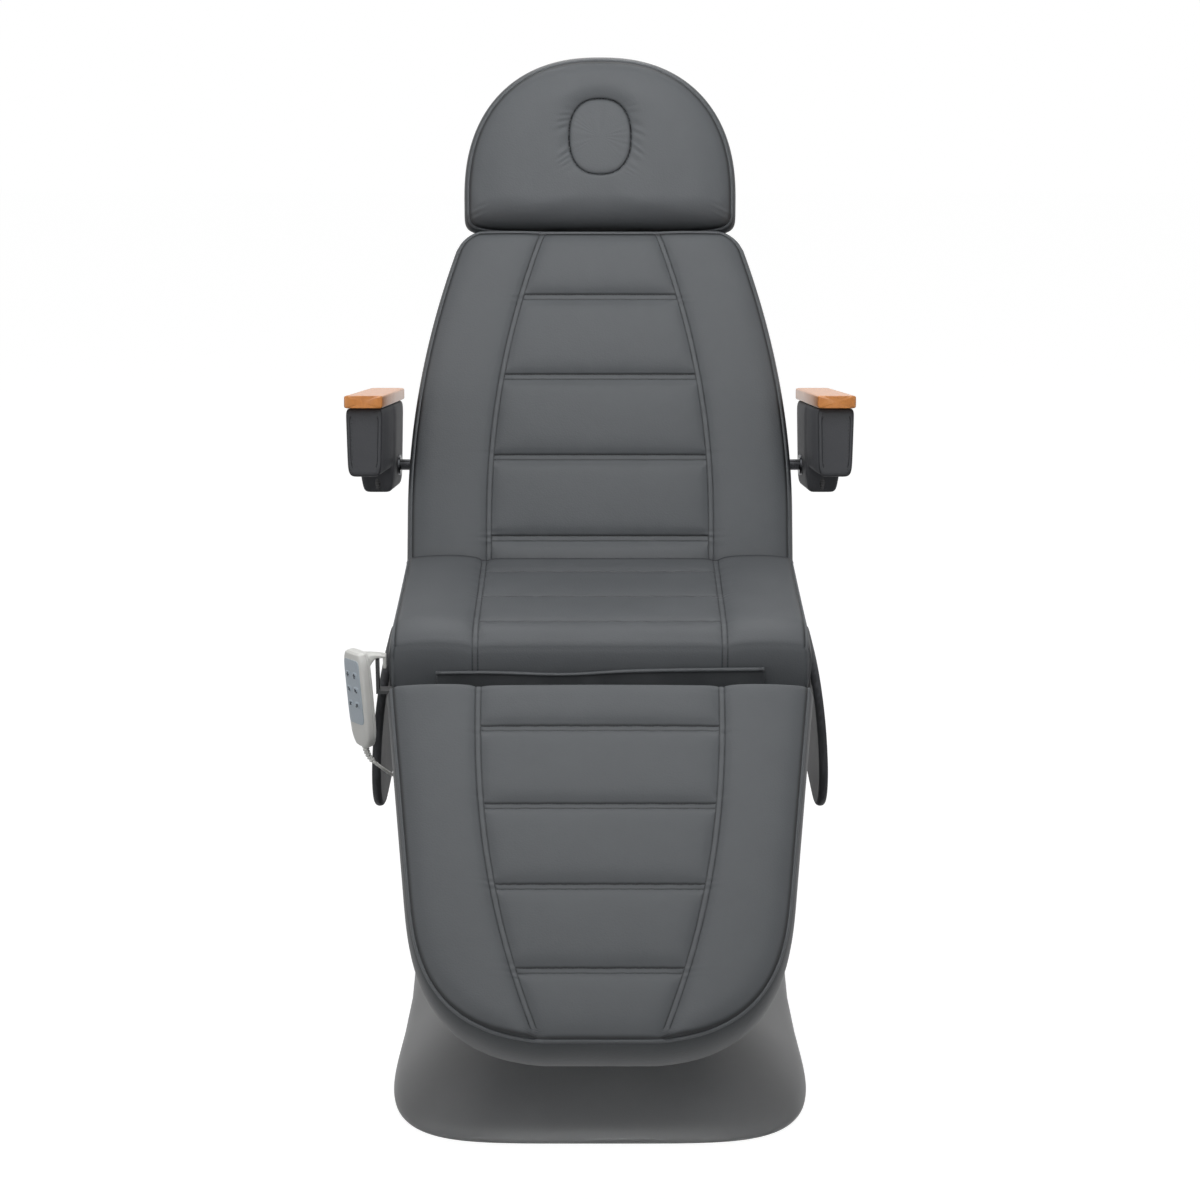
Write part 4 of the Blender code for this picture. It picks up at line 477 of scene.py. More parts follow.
def stitch_rows(name, lines, up, body, pitch=.0052, length=.0034, thick=.0006):
    """Rows of stitches: a drawn-out octahedron every pitch along each line, half sunk in the cloth.
    Its six corners are the middle +- half length along, +- thick across and +- thick up."""
    middles, runs = [], []
    for line in lines:
        far = np.concatenate([[0], np.cumsum(np.linalg.norm(np.diff(line, axis=0), axis=1))])
        at = np.arange(pitch / 2, far[-1], pitch)
        ends = [np.stack([np.interp(at + d, far, line[:, k]) for k in range(3)], -1) for d in (-.001, .001)]
        middles.append((ends[0] + ends[1]) / 2)
        runs.append(ends[1] - ends[0])
    middle, run = np.vstack(middles), np.vstack(runs)
    run /= np.linalg.norm(run, axis=1, keepdims=True)
    side = np.cross(run, up)
    side /= np.linalg.norm(side, axis=1, keepdims=True)
    half = np.stack([run * length / 2, side * thick, np.cross(side, run) * thick], 1)
    corners = middle[:, None] + np.stack([half, -half], 2).reshape(-1, 6, 3)
    octahedron = np.array([(0, 2, 4), (2, 1, 4), (1, 3, 4), (3, 0, 4),
                           (2, 0, 5), (1, 2, 5), (3, 1, 5), (0, 3, 5)])
    faces = (octahedron[None] + 6 * np.arange(len(middle))[:, None, None]).reshape(-1, 3)
    mesh = bpy.data.meshes.new(name)
    mesh.from_pydata(corners.reshape(-1, 3), [], faces.tolist())
    put(mesh, sewing_thread, body)


def rim_of(grid):
    """The four edges of a grid as one loop, anticlockwise from its first corner."""
    return np.concatenate([grid[0, :-1], grid[:-1, -1], grid[-1, :0:-1], grid[:0:-1, 0]])


def bell(x, width):
    """A bell curve, 1 high, that falls to 1 / e at width."""
    return np.exp(-(x / width) ** 2)


def rolled(share):
    """How far a quarter-ellipse roll has dropped: 1 at its edge, where share is 0, and 0 from share 1 on."""
    return 1 - np.sqrt(1 - (1 - np.clip(share, 0, 1)) ** 2)


def side_swell(down):
    """How far a cushion's side swells out, 9 mm at the most, between its face (down 0) and its board (1)."""
    return .009 * np.sin(np.pi * down ** .8) ** .7


def cushion(name, place, body, node, width, middle, start, end, seams, face, rear, strip=.004, upper=1,
            roll=(.030, .010), start_roll=None, tucked=False, rise=0, wrap=0):
    """A channelled cushion in its panel's frame. Its face is the foam's crown, less a quarter-ellipse roll at
    the welted rim, less a deeper one where the cover rolls over the start, less a valley at each stitched
    strip, with a fine groove under each stitch line. Its side swells by 9 mm and, except along the start, is
    painted half dark, as shade. A tucked end has no welt but a crease painted dark, as shade. The cover laps
    the board's edge by wrap. It gives back the welted rim and its outward normals."""
    edge = np.concatenate([np.linspace(start, end, 160), end - np.geomspace(.0002, .012, 14)])
    edge.sort()
    line = np.stack([width(edge), edge], -1)
    if not tucked:
        line = np.concatenate([line, np.stack([np.linspace(width(end), 0, 12)[1:], np.full(11, end)], -1)])
    depth = .5 if tucked else 1

    def height(x, s):
        """How far the face stands off its flat level, how dark it is (0 to 1) from thread lines and from
        painted shade in the seam grooves, beside the welt and in a tucked end's crease, and its gap to the
        rim."""
        off, flat = np.broadcast_arrays(abs(x), s)
        p = np.stack([off.ravel(), flat.ravel()], -1)[:, None]
        d = np.diff(line, axis=0)
        t = np.clip(((p - line[:-1]) * d).sum(-1) / (d * d).sum(-1), 0, 1)
        gap = np.sqrt((((p - line[:-1]) - t[..., None] * d) ** 2).sum(-1).min(1)).reshape(off.shape)
        m, w = middle(flat), width(flat)
        drop = roll[1] * rolled(gap / roll[0])
        if start_roll:
            drop = np.hypot(drop, start_roll[1] * rolled((flat - start) / start_roll[0]))
            drop = drop - start_roll[2] * (1 - (off / w) ** 2) * np.exp(-(flat - start) / .060)

        inside = np.clip((m - off) / .0024 + .5, 0, 1)
        fade = np.clip((end - flat) / .003 + tucked, 0, 1)
        aside = abs(off - m - TWIN / 2) - TWIN / 2
        across = np.maximum(aside, 0)
        past = flat[..., None] - np.array(seams)
        past = upper * np.take_along_axis(past, abs(past).argmin(-1)[..., None], -1)[..., 0]
        beside = np.maximum(abs(past) - strip, 0)
        valley = .0020 if tucked else .0048
        sink = np.maximum(.0024 * fade * np.exp(-(across / .0080) ** 1.6),
                          valley * inside * np.exp(-(beside / .0105) ** 1.6))
        # Each cross seam's first line is wider and darker than its second: painted shadow under the
        # overhanging channel, over the dark thread.
        thread_line_and_shade = np.maximum(bell(past - strip - .0004, .0014), .62 * bell(past + strip, .0009))
        thread_line_and_shade = np.maximum(.62 * fade * bell(aside, .0009), inside * thread_line_and_shade)
        along = np.sin(flat * 371 + 3 * np.sin(flat * 83)) * np.exp(-across / .010) * fade
        athwart = np.sin(off * 353 + 3 * np.sin(off * 71 + flat * 40)) * np.exp(-beside / .010) * inside
        pucker = .0006 * (along + athwart)

        stops = np.array([start, *sorted(seams), end])
        lower = np.searchsorted(stops, flat, side="right").clip(1, len(stops) - 1)
        u = (flat - stops[lower - 1]) / (stops[lower] - stops[lower - 1])
        crown = .0040 * depth * (1 - (2 * u - 1) ** 2) * (1 - np.minimum(off / m, 1) ** 6)
        v = np.clip((off - m - TWIN) / (w - m - TWIN), 0, 1)
        crown = crown + .0055 * (4 * v * (1 - v)) ** .7
        crown = crown + rise * np.clip((flat - start) / (end - start), 0, 1) ** 1.6
        # Dark thread lines with painted shade in their grooves, and a painted shadow in the crease just
        # inside the welt.
        thread_and_shade = np.maximum(.9 * thread_line_and_shade, .95 * bell(gap - .0016, .0026))
        # A tucked end is painted dark along its crease against the backrest, as its shadow.
        if tucked:
            thread_and_shade = np.maximum(thread_and_shade, .8 * bell(end - flat, .007))
        return crown - drop - sink - .0015 * thread_line_and_shade + pucker, thread_and_shade, gap

    near = np.array([.0006, .0011, .0018, .0030, .0048, .0070, .0095, .0130])
    fine = np.concatenate([-strip - near, np.linspace(-strip, strip, 9), strip + near])
    base = np.arange(start + .022, end - .022, .0088)
    base = base[abs(base[:, None] - np.array(seams)).min(1) > strip + .0165]
    ends = np.array([0, .0003, .0008, .0016, .0028, .0043, .0062, .0085, .0112, .0143, .0178])
    extra = np.array([.030, .0315, .033, .0345, .036]) if start_roll is None else np.array([])
    s = np.concatenate([start + ends, end - ends, base, extra] + [k + fine for k in seams])
    s = np.unique(s)[:, None]

    q, b = np.linspace(0, 1, 20), np.linspace(0, 1, 12)[1:-1]
    edge_steps = np.array([.022, .018, .0145, .0115, .009, .0068, .005, .0034, .002, .0009, 0])
    strip_steps = np.array([0, .0006, .0011, .0020, .0040, .0060, .0069, .0074, TWIN])
    threads = np.concatenate([-near[6::-1], strip_steps, TWIN + near])
    of_middle = np.concatenate([q, np.ones(len(threads)), 1 - b, 0 * edge_steps])
    of_width = np.concatenate([0 * q, 0 * threads, b, 1 + 0 * edge_steps])
    further = np.concatenate([-.0130 * q, threads, .021 * (1 - b) - .022 * b, -edge_steps])
    x = of_middle * np.minimum(middle(s), width(s) - .056) + of_width * width(s) + further
    x = np.concatenate([-x[:, :0:-1], x], 1)
    lift, thread_and_shade, gap = height(x, s)
    top = place(x, s, face + lift)
    rear_level = rear(s) - wrap * np.clip((.021 - gap) / .003, 0, 1)
    under = place(x, s, rear_level)

    rim = rim_of(np.stack(np.broadcast_arrays(x, s, face + lift), -1))
    run = np.roll(rim, -1, 0) - np.roll(rim, 1, 0)
    normal = np.stack([run[:, 1], -run[:, 0]], -1) / np.linalg.norm(run[:, :2], axis=1, keepdims=True)
    at_start = normal[:, 1] < -.5
    down = np.array([0, .05, .12, .2, .3, .42, .55, .68, .8, .9, .96, 1])[:, None]
    swell = side_swell(down)
    if start_roll:
        swell = swell * np.where(at_start, .35, 1)
    if tucked:
        swell = swell * (normal[:, 1] < .5)
    side = place(rim[:, 0] + swell * normal[:, 0], rim[:, 1] + swell * normal[:, 1],
                 rim[:, 2] + (rim_of(rear_level[..., None])[:, 0] - rim[:, 2]) * down)
    beside = abs(abs(rim[:, 0]) - middle(rim[:, 1]) - TWIN / 2) - TWIN / 2
    # Painted shade: the sides are half dark; along the start only dark lines where the seams run down.
    band = np.where(at_start, .85 * bell(beside, .0010), .50)
    pad = sew(name, [top, side, under], grey_vinyl, body, wrapped=(False, True, False),
              thread_and_shade=[thread_and_shade, band + 0 * down, np.zeros(under.shape[:2])])
    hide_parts(node)

    lines = []
    for k in seams:
        for shift in sorted({-strip, strip}):
            reach = middle(np.array(k + shift)) - .001
            across = np.linspace(-reach, reach, 70)
            lines.append(place(across, k + shift, face + height(across, np.full(70, k + shift))[0]))
    along = np.linspace(start + .004, end - .003, 160)
    for sign in (-1, 1):
        for shift in (0, TWIN):
            across = sign * (middle(along) + shift)
            lines.append(place(across, along, face + height(across, along)[0]))
    if start_roll:
        m = middle(np.array(start))
        lines += [side[1:-1, np.argmin(abs(rim[:, 0] - seam_x) + 9 * ~at_start)]
                  for seam_x in (-m - TWIN, -m, m, m + TWIN)]
    up = place(0., 0., 1.) - place(0., 0., 0.)
    stitch_rows(name + "_stitches", lines, up, body)
    past_start = x.shape[1] - 1
    return rim[past_start:], normal[past_start:]


def piping(name, place, rim, normal, body, closed=False, lead=()):
    """A welted edge: a 5 mm cord in a folded strip, carried round the rim, a millimetre outside it."""
    path = place(rim[:, 0] + .0012 * normal[:, 0], rim[:, 1] + .0012 * normal[:, 1], rim[:, 2] - .0008)
    if len(lead):
        path = np.concatenate([lead, path, lead[::-1] * (-1, 1, 1)])
    up = place(0., 0., 1.) - place(0., 0., 0.)
    sew(name, [tube(path, .0026, up + (.03, .02, .01), 10, closed)], lit_piping_vinyl, body)


seat_place = panel(0, 0, (1, 0))
seat_rim, seat_normal = cushion(
    "seat_pad", seat_place, "seat", "seat_cushion", lambda s: .305 + 0 * s, lambda s: .181 + 0 * s,
    -.178, .178, [-.123, -.003, .117], .690, lambda s: .5985 + 0 * s, strip=.0, roll=(.008, .003),
    start_roll=(.066, .026, 0), tucked=True, rise=.010)
seat_rim[:, 2] -= .030 * (seat_normal[:, 1] > .5)
seat_lead = np.array([(.3058, -.1792, .6000), (.3072, -.1806, .6120), (.3072, -.1806, .6480),
                      (.3066, -.1800, .6585)])
piping("seat_piping", seat_place, seat_rim, seat_normal, "seat", lead=seat_lead)

# The backrest: a channelled cushion on a plywood board and a welded tube frame, hinged at the seat's rear.
# Its foot is thinned, so that it tucks in behind the seat; a welt runs up both sides and over the top.


def back_width(s):
    """Half the backrest's width: .3045 less .402 (s - .1125)^2 from s = .1125, with 30 mm round corners."""
    into = np.clip(.96 * (s - .574 + .030) / .030, 0, .96)
    return .3045 - .402 * np.maximum(0, s - .1125) ** 2 - .030 * (1 - np.sqrt(1 - into ** 2))


back_place = panel(.237, .640, (.40992, .91212))
back_rim, back_normal = cushion(
    "backrest_pad", back_place, "backrest", "backrest_cushion", back_width,
    lambda s: .1755 - .402 * np.maximum(0, s - .1125) ** 2, -.021, .574, [.0675 + .133 * k for k in range(4)],
    .050, lambda s: .018 - .043 * np.clip((s - .031) / .004, 0, 1))
piping("backrest_piping", back_place, back_rim, back_normal, "backrest")

# Black spun-bonded lining, stapled over the boards: matt fibre felt, bonded in a grid of small dots.
lining, tree, spot = new_finish("black_spunbond_lining")
bonds = add_node(tree, "ShaderNodeTexVoronoi", {"Vector": spot, "Scale": 1 / .0032, "Randomness": .1})
fibre = noise(tree, spot, .0030, 5.0, Roughness=.7)
coat(tree, between(tree, fibre, "#1c1c1d", "#2f2f30"), .85, Specular_IOR_Level=.25,
     Normal=relief(tree, bonds.outputs["Distance"], .35, .0006))
for name in ("seat_board", "backrest_board", "legrest_board", "headrest_board"):
    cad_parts[name].data.materials[0] = lining

# The leg rest: a channelled cushion that tapers to a broad round foot, on its own board and two rails. It
# hangs on the pin under the seat's front edge. Its cover rolls over the upper edge, and a welt runs round
# the rest.


def leg_width(s):
    """Half the leg rest's width: .304 - .115 t, closed by a squared round end of power 3.2 from t = .330."""
    t = s - .050
    into = np.clip((t - .330) / .244, 0, .995)
    return (.304 - .115 * t) * (1 - into ** 3.2) ** (1 / 3.2)


leg_place = panel(-.150, .585, (-.80386, -.59482))
leg_rim, leg_normal = cushion(
    "legrest_pad", leg_place, "legrest", "legrest_cushion", leg_width,
    lambda s: .173 - .339 * np.maximum(s - .050, 0) ** 2.31, .053, .622, [.1275 + .131 * k for k in range(4)],
    .0981, lambda s: .0251 + 0 * s, upper=-1, start_roll=(.028, .007, .006), wrap=.0130)
piping("legrest_piping", leg_place, leg_rim, leg_normal, "legrest")

# The headrest: a foam cushion, arched at the top, on a board and a tilting bracket. Its face rolls under at
# the lower edge, a welt runs round it, and the face hole is closed by a plug that pulls out by hand.
HEAD_LOW, HEAD_WAIST, HEAD_REAR, PLUG_REAR, HOLE_MIDDLE, RIM_INSET = -.0385, .0222, .0386, .0412, .1202, .009
head_place = panel(.54033, 1.19273, (.23514, .97196))
turn = np.linspace(0, 2 * np.pi, 240, endpoint=False)


def head_outline(inset):
    """The headrest's plan: squared ovals, power 2.3 above its waist and 8 below, drawn in by inset."""
    upper = np.sin(turn) >= 0
    power, reach = np.where(upper, 2.3, 8), np.where(upper, .231, HEAD_WAIST - HEAD_LOW) - inset
    across, along = oval(turn, power)
    return np.stack([(.224 - inset) * across, HEAD_WAIST + reach * along], -1)


def face_hole(grow):
    """The face hole's squared oval of power 2.4, 101 by 124 mm."""
    across, along = oval(turn, 2.4)
    return np.stack([(.0505 + grow) * across, HOLE_MIDDLE + (.062 + grow) * along], -1)


share = np.concatenate([np.linspace(0, .06, 8)[:-1], np.linspace(.06, .80, 26)[:-1], np.linspace(.80, 1, 14)])
rim, hole = head_outline(RIM_INSET), face_hole(.0)
spread = rim[None] * (1 - share[:, None, None]) + hole[None] * share[:, None, None]
off, up = abs(spread[..., 0]), spread[..., 1]
from_rim = np.linalg.norm(spread - rim, axis=-1)
from_hole = np.linalg.norm(spread - hole, axis=-1)
crown = .013 * (1 - (1 - np.minimum(from_rim / .085, 1)) ** 2)
drop = .010 * rolled(from_rim / .020)
tuck = .042 * rolled((up - HEAD_LOW - RIM_INSET) / .056)
dimple = (.0058 + .0052 * np.sin(turn)) * np.exp(-(from_hole / .018) ** 1.4)
pucker = .0009 * np.sin(31 * turn + 2 * np.sin(7 * turn)) * np.cos(turn) ** 4
pucker = pucker * bell(from_hole - .012, .012)
corner = np.exp(-((off - .208) / .016) ** 2 - ((up - .012) / .020) ** 2)
pucker = pucker + .0012 * corner * np.sin((up + .35 * off) * 640)
lip = .0030 * np.exp(-from_hole / .0022)
level = .1066 + crown - drop - tuck - dimple + pucker - lip
head_face = head_place(spread[..., 0], up, level)
down = np.array([0, .06, .15, .28, .42, .58, .74, .88, .96, 1])[:, None]
swell = side_swell(down)
normal = (head_outline(0) - rim) / RIM_INSET
head_side = head_place(rim[:, 0] + swell * normal[:, 0], rim[:, 1] + swell * normal[:, 1],
                       level[0] + (HEAD_REAR - level[0]) * down)
well = np.linspace(0, 1, 6)[:, None]
head_well = head_place(hole[:, 0], hole[:, 1], level[-1] + (HEAD_REAR - level[-1]) * well)
rear = hole[None] * (1 - well[..., None]) + rim[None] * well[..., None]
head_rear = head_place(rear[..., 0], rear[..., 1], HEAD_REAR)
# Painted shade: a dark line round the face hole, in its gap, and one just inside the welt, in its crease. The
# side is painted half dark, as shade.
thread_and_shade = np.maximum(bell(from_hole, .0016), .95 * bell(from_rim - .0020, .0032))
dark = [thread_and_shade, np.full(head_side.shape[:2], .5), np.zeros(head_well.shape[:2]), np.zeros(head_rear.shape[:2])]
head_pad = sew("headrest_pad", [head_face, head_side, head_well, head_rear], grey_vinyl, "headrest",
               thread_and_shade=dark)
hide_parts("headrest_cushion")
piping("headrest_piping", head_place, np.column_stack([rim, level[0]]), normal, "headrest", closed=True)

ring = np.array([0, .12, .25, .4, .55, .7, .82, .90, .95, .98, 1.0])[:, None]
plug_rim = face_hole(-.0002)
plug = np.array([0, HOLE_MIDDLE]) * (1 - ring[..., None]) + plug_rim[None] * ring[..., None]
plug_level = level[-1] + .0022 + .0016 * (1 - ring ** 2) - .0030 * np.maximum(0, (ring - .9) / .1) ** 2
plug_level = plug_level * ring + (level[-1].mean() + .0045) * (1 - ring)
plug_face = head_place(plug[..., 0], plug[..., 1], plug_level)
plug_wall = head_place(plug_rim[:, 0], plug_rim[:, 1], plug_level[-1] + (PLUG_REAR - plug_level[-1]) * well)
plug_rear = head_place(plug[::-1, :, 0], plug[::-1, :, 1], PLUG_REAR)
# A dark line round the plug's rim: painted shade in the thin gap round it.
dark = [.9 * np.maximum(0, (ring - .965) / .035) + 0 * turn, np.zeros(plug_wall.shape[:2]),
        np.zeros(plug_rear.shape[:2])]
face_plug = sew("face_plug_pad", [plug_face, plug_wall, plug_rear], grey_vinyl, "face_plug_body",
                thread_and_shade=dark)
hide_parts("face_plug")

# The headrest's fork: a bright cross tube on two steel rods that slide in guides behind the backrest.
FORK_TOP, FORK_BEHIND = .6285, -.0501
rod = [(.3585, 0), (.3585, .0058), (.3597, .007), (FORK_TOP, .007), (FORK_TOP, 0)]
parts = [turned(back_place, 0, FORK_TOP, FORK_BEHIND, bar_profile(.088, .009), 0)]
parts += [turned(back_place, x, 0, FORK_BEHIND, rod, 1) for x in (-.070, .070)]
fork = sew("headrest_fork_rods", parts, bright_steel, "head_slide", sharp=35)
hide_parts("headrest_fork")

# The armrests: a lacquered beech top screwed on a padded vinyl body with a zip at its rear step.
# Each swings up on a steel rod, coloured dark as a painted reflection of dark surroundings, that turns in a
# tube across the backrest frame.
ARM_X, SEAM_X, WOOD_LONG, PAD_TOP, PAD_FRONT = .3615, .361, .467, .0203, .0135

# Lacquered beech: warm and fine grained, with short dark flecks along the grain under a clear satin.
beech, tree, spot = new_finish("lacquered_beech")
fibre = add_node(tree, "ShaderNodeMapping", {"Vector": spot, "Scale": (1 / .006, 1 / .110, 1 / .012)})
bands = noise(tree, fibre.outputs[0], 1.0, 5.0, Distortion=.6)
fleck = add_node(tree, "ShaderNodeMapping", {"Vector": spot, "Scale": (1 / .0011, 1 / .0090, 1 / .0011)})
fleck = noise(tree, fleck.outputs[0], 1.0, 1.0)
fleck = add_node(tree, "ShaderNodeMapRange", {"Value": fleck, "From Min": .66, "From Max": .74, "To Max": .5})
tone = between(tree, fleck.outputs[0], between(tree, bands, "#b7661f", "#dd9342"), "#8f5428")
coat(tree, tone, .42, Coat_Weight=.35, Coat_Roughness=.15, Normal=relief(tree, bands, .05, .0003))

# A nylon coil zip: black teeth, drawn 4 mm apart so that they show.
zip_strip, tree, spot = new_finish("nylon_zip")
teeth = add_node(tree, "ShaderNodeTexWave", {"Vector": spot, "Scale": 1 / .0126, "Distortion": .3},
                 bands_direction="Z").outputs["Fac"]
coat(tree, between(tree, teeth, "#101011", "#2a2a2c"), .55, Normal=relief(tree, teeth, .5, .0008))

dark_vinyl = vinyl("dark_embossed_vinyl", "#4e4f52", "#595a5d", .06)
# The armrest rods' steel is dark: a painted reflection of dark surroundings on bright rods.
reflection_darkened_steel = turned_steel("steel_darkened_as_reflection", "#2b2c2e", "#3c3d3f")
arm_place = panel(.050, .995, (np.cos(np.radians(11)), -np.sin(np.radians(11))))


def arm_drop(s):
    """How far below the wood's top the pad's underside hangs: .125, and .164 past a soft step at s = .25."""
    step = np.clip((s - .235) / .030, 0, 1)
    return .1253 + .039 * step * step * (3 - 2 * step)


wood_end = np.array([(0, 0), (0, .90), (.0012, .96), (.0035, .995), (.006, 1)])
wood_steps = np.concatenate([wood_end, (WOOD_LONG, 0) + wood_end[::-1] * (-1, 1)])
s = np.concatenate([[PAD_FRONT] * 6, [.0142, .0160, .0190, .0230], np.linspace(.030, .225, 24),
                    np.linspace(.232, .272, 22), np.linspace(.280, .440, 20),
                    [.446, .450, .4520, .4530, .4535, .4535]])[:, None]
share = np.concatenate([[0, .55, .74, .78, .82, .86, .93, .97, .992, 1], np.ones(len(s) - 16),
                        [1, .992, .97, .93, .86, 0]])[:, None]
turn = np.linspace(0, 2 * np.pi, 96, endpoint=False)
across, out = oval(turn, np.where(np.sin(turn) > 0, 12, 7))
flank = abs(across) > .9
middle, half = (PAD_TOP + arm_drop(s)) / 2, (arm_drop(s) - PAD_TOP) / 2
ripple = .0006 * np.sin(s * 330 + 1.5 * np.sin(s * 47)) * flank * np.clip((s - .03) / .02, 0, 1)
bulge = .0012 * (1 - out ** 2) * np.sin(np.pi * np.clip((s - PAD_FRONT) / .440, 0, 1)) + ripple
wide = share * (.0284 + bulge) * across * (1 - .10 * (1 - out) / 2)
# Two dark lines down each side of the pad's front, beside the stitches: painted shade in the seams.
thread_and_shade = (.9 * bell(share - .78, .02) + .8 * bell(share - .965, .02)) * flank * (s < .1)
rod = np.array([(.160, 0), (.160, .0078), (.1612, .009), (.330, .009), (.330, .016), (.3312, .0165),
                (.3345, .0165), (.3345, .009), (.3708, .009), (.372, .0078), (.372, 0)])
for side, hand in ((-1, "left"), (1, "right")):
    body = "armrest_" + hand
    top = squared_box(arm_place, side * ARM_X, -.010, .0295, .010, wood_steps, 9, 56)
    top = sew(body + "_beech_top", [top], beech, body, sharp=60)
    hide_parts("armrest_top_" + hand)

    pad = arm_place(side * ARM_X + wide, s, share * half * out - middle)
    pad = sew(body + "_pad", [pad], dark_vinyl, body, thread_and_shade=[thread_and_shade])
    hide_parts("armrest_pad_" + hand)

    o = np.linspace(-.026, -.116, 50)
    rows = [arm_place(side * SEAM_X + edge * (1 - .10 * (abs(o) - PAD_TOP) / .105), .0132, o)
            for edge in (-.0205, .0205)]
    up = arm_place(0., -1., 0.) - arm_place(0., 0., 0.)
    stitch_rows(body + "_front_stitches", rows, up, body, pitch=.0050)

    strip = np.linspace(-1, 1, 7)
    o = np.linspace(-.129, -.160, 24)[:, None]
    step = np.interp(-o, [.1253, .135, .150, .1643], [.2460, .2482, .2532, .2640])
    tape = arm_place(side * SEAM_X + .0042 * strip, step - .0016 * (1 - strip ** 4) - .0006, o)
    back = arm_place(side * SEAM_X + .0042 * strip, step + .0020, o)
    tape = np.concatenate([tape, back[::-1], tape[:1]])
    sew(body + "_zip", [tape], zip_strip, body, wrapped=False)

    bar = turned(room, 0, .36698, .80699, rod * (side, 1), 0)
    bar = sew(body + "_rod", [bar], reflection_darkened_steel, body, sharp=35)
    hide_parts("armrest_rod_" + hand)

# The side wings: thin foam-padded skirts in darker vinyl, sewn round the edge and screwed to the seat frame's
# outriggers. They hang below the seat, bow outwards and end in a round corner.
WING_TOP, WING_HIGH, WING_THICK, WING_SEAM = .612, .242, .014, .940
wing_turn = np.linspace(0, 2 * np.pi, 120, endpoint=False)


def wing_skin(share, out):
    """A wing's face: its squared oval of power 3.6, scaled by share, standing out from the bowed middle plane
    x = .3235 + .0165 sin(bow pi / 2), where bow is the drop from the top over .78 of the wing's height."""
    across, along = oval(wing_turn, 3.6)
    y, z = .0225 + share * .1625 * across, WING_TOP - WING_HIGH / 2 + share * WING_HIGH / 2 * along
    bow = np.minimum(np.clip((WING_TOP - z) / WING_HIGH, 0, None) / .78, 1.25)
    return room(.3235 + .0165 * np.sin(bow * np.pi / 2) + out, y, z)


share = np.array([0, .15, .3, .45, .6, .74, .84, .90, .93, .945, .955, .97, .985, .995, 1])[:, None]
crest = WING_THICK / 2 * (1 - np.clip((share - .955) / .045, 0, 1) ** 2.2) ** .5
groove = .0016 * bell(share - WING_SEAM, .010)
outer_face, inner_face = wing_skin(share, crest - groove), wing_skin(share, -crest)
# A dark line along the stitched groove: painted shade in it.
thread_and_shade = .7 * bell(share - WING_SEAM, .006) + 0 * wing_turn
for side, hand in ((-1, "left"), (1, "right")):
    skins = [skin * (side, 1, 1) for skin in (outer_face, inner_face[::-1])]
    # The inner face is painted part dark (.35), as shade.
    wing = sew("side_wing_pad_" + hand, skins, dark_vinyl, "seat", thread_and_shade=[thread_and_shade, .35 + 0 * thread_and_shade])
    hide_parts("side_wing_" + hand)
    row = wing_skin(np.array([[WING_SEAM + .002]]), np.array([[.0056]]))[0] * (side, 1, 1)
    stitch_rows("side_wing_stitches_" + hand, [row], (side, .02, .01), "seat")

# The gap flap: a strip of the seat's vinyl, sewn to the seat's front. It hangs loose over the hinge gap. Its
# upper edge is folded to a hem and dips a little left of the middle.
FLAP_WIDE, FLAP_HIGH, FLAP_FOOT = .486, .0345, .600
x = np.linspace(-FLAP_WIDE / 2, FLAP_WIDE / 2, 150)
down = (np.linspace(0, 1, 44) ** 1.6)[:, None]
top = .6350 + .0125 * x - .0050 * bell(x + .055, .075)
z = top + (FLAP_FOOT - top) * down
wave = (.0011 * np.sin(x * 61 + 1.3 * np.sin(x * 23)) + .0005 * np.sin(x * 143) - .0010) * down
hem = .0036 * np.sqrt(np.clip(1 - ((down - .075) / .085) ** 2, 0, 1))
front, rear = room(x, -.1890 + wave - hem, z), room(x, -.1875 + wave, z)
# Painted shade: a dark line just below the hem, as its shadow, and the body below it half dark, as shade
# under the seat's front. The dark lines at both ends are the stitching.
thread_and_shade = np.maximum(.9 * bell(down - .19, .030), .55 * (down > .19))
thread_and_shade = np.maximum(thread_and_shade, .9 * bell(abs(x) - .238, .0016))
wall = np.concatenate([front, rear[:, ::-1], front[:, :1]], 1)
edges = [np.stack([front[k], rear[k]]) for k in (0, -1)]
dark = [np.concatenate([thread_and_shade, 0 * thread_and_shade, 0 * thread_and_shade[:, :1]], 1)] + [np.zeros(edge.shape[:2]) for edge in edges]
flap = sew("seat_front_flap", [wall, *edges], grey_vinyl, "seat", thread_and_shade=dark, wrapped=False)
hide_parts("gap_flap")

# The handset: two clipped ABS shells with a membrane keypad of six keys under a printed film. It hangs by its
# hooked rear shell on the bracket at the seat's left, and its cord leaves through a ribbed sleeve.
CASE_LONG, CASE_HALF, CASE_DEEP, FILM_PROUD, FILM_UNDER, KEY_UNDER = .150, .024, .011, .0011, -.0006, .00095


def turn_about(axis, degrees):
    """The rotation matrix about x, y or z (axis 0, 1 or 2)."""
    c, s = np.cos(np.radians(degrees)), np.sin(np.radians(degrees))
    made, k, m = np.eye(3), (axis + 1) % 3, (axis + 2) % 3
    made[[k, k, m, m], [k, m, k, m]] = c, -s, s, c
    return made


hand_axes = turn_about(1, -4) @ turn_about(2, -50)


def in_hand(x, y, z):
    """The handset's across, deep and up to the room: turned 50 degrees, leaning 4, hung by its top."""
    return room(x, y, z) @ hand_axes.T + (-.362, -.170, .658)


case_steps = smooth_route([(0, .62, .55), (.012, .76, .73), (.035, .88, .88), (.16, 1, 1), (.62, 1, 1),
                           (.86, .92, .95), (.965, .70, .80), (.990, .56, .64), (1, .46, .50)], 5)
down, wide, deep = case_steps.T[:, :, None]


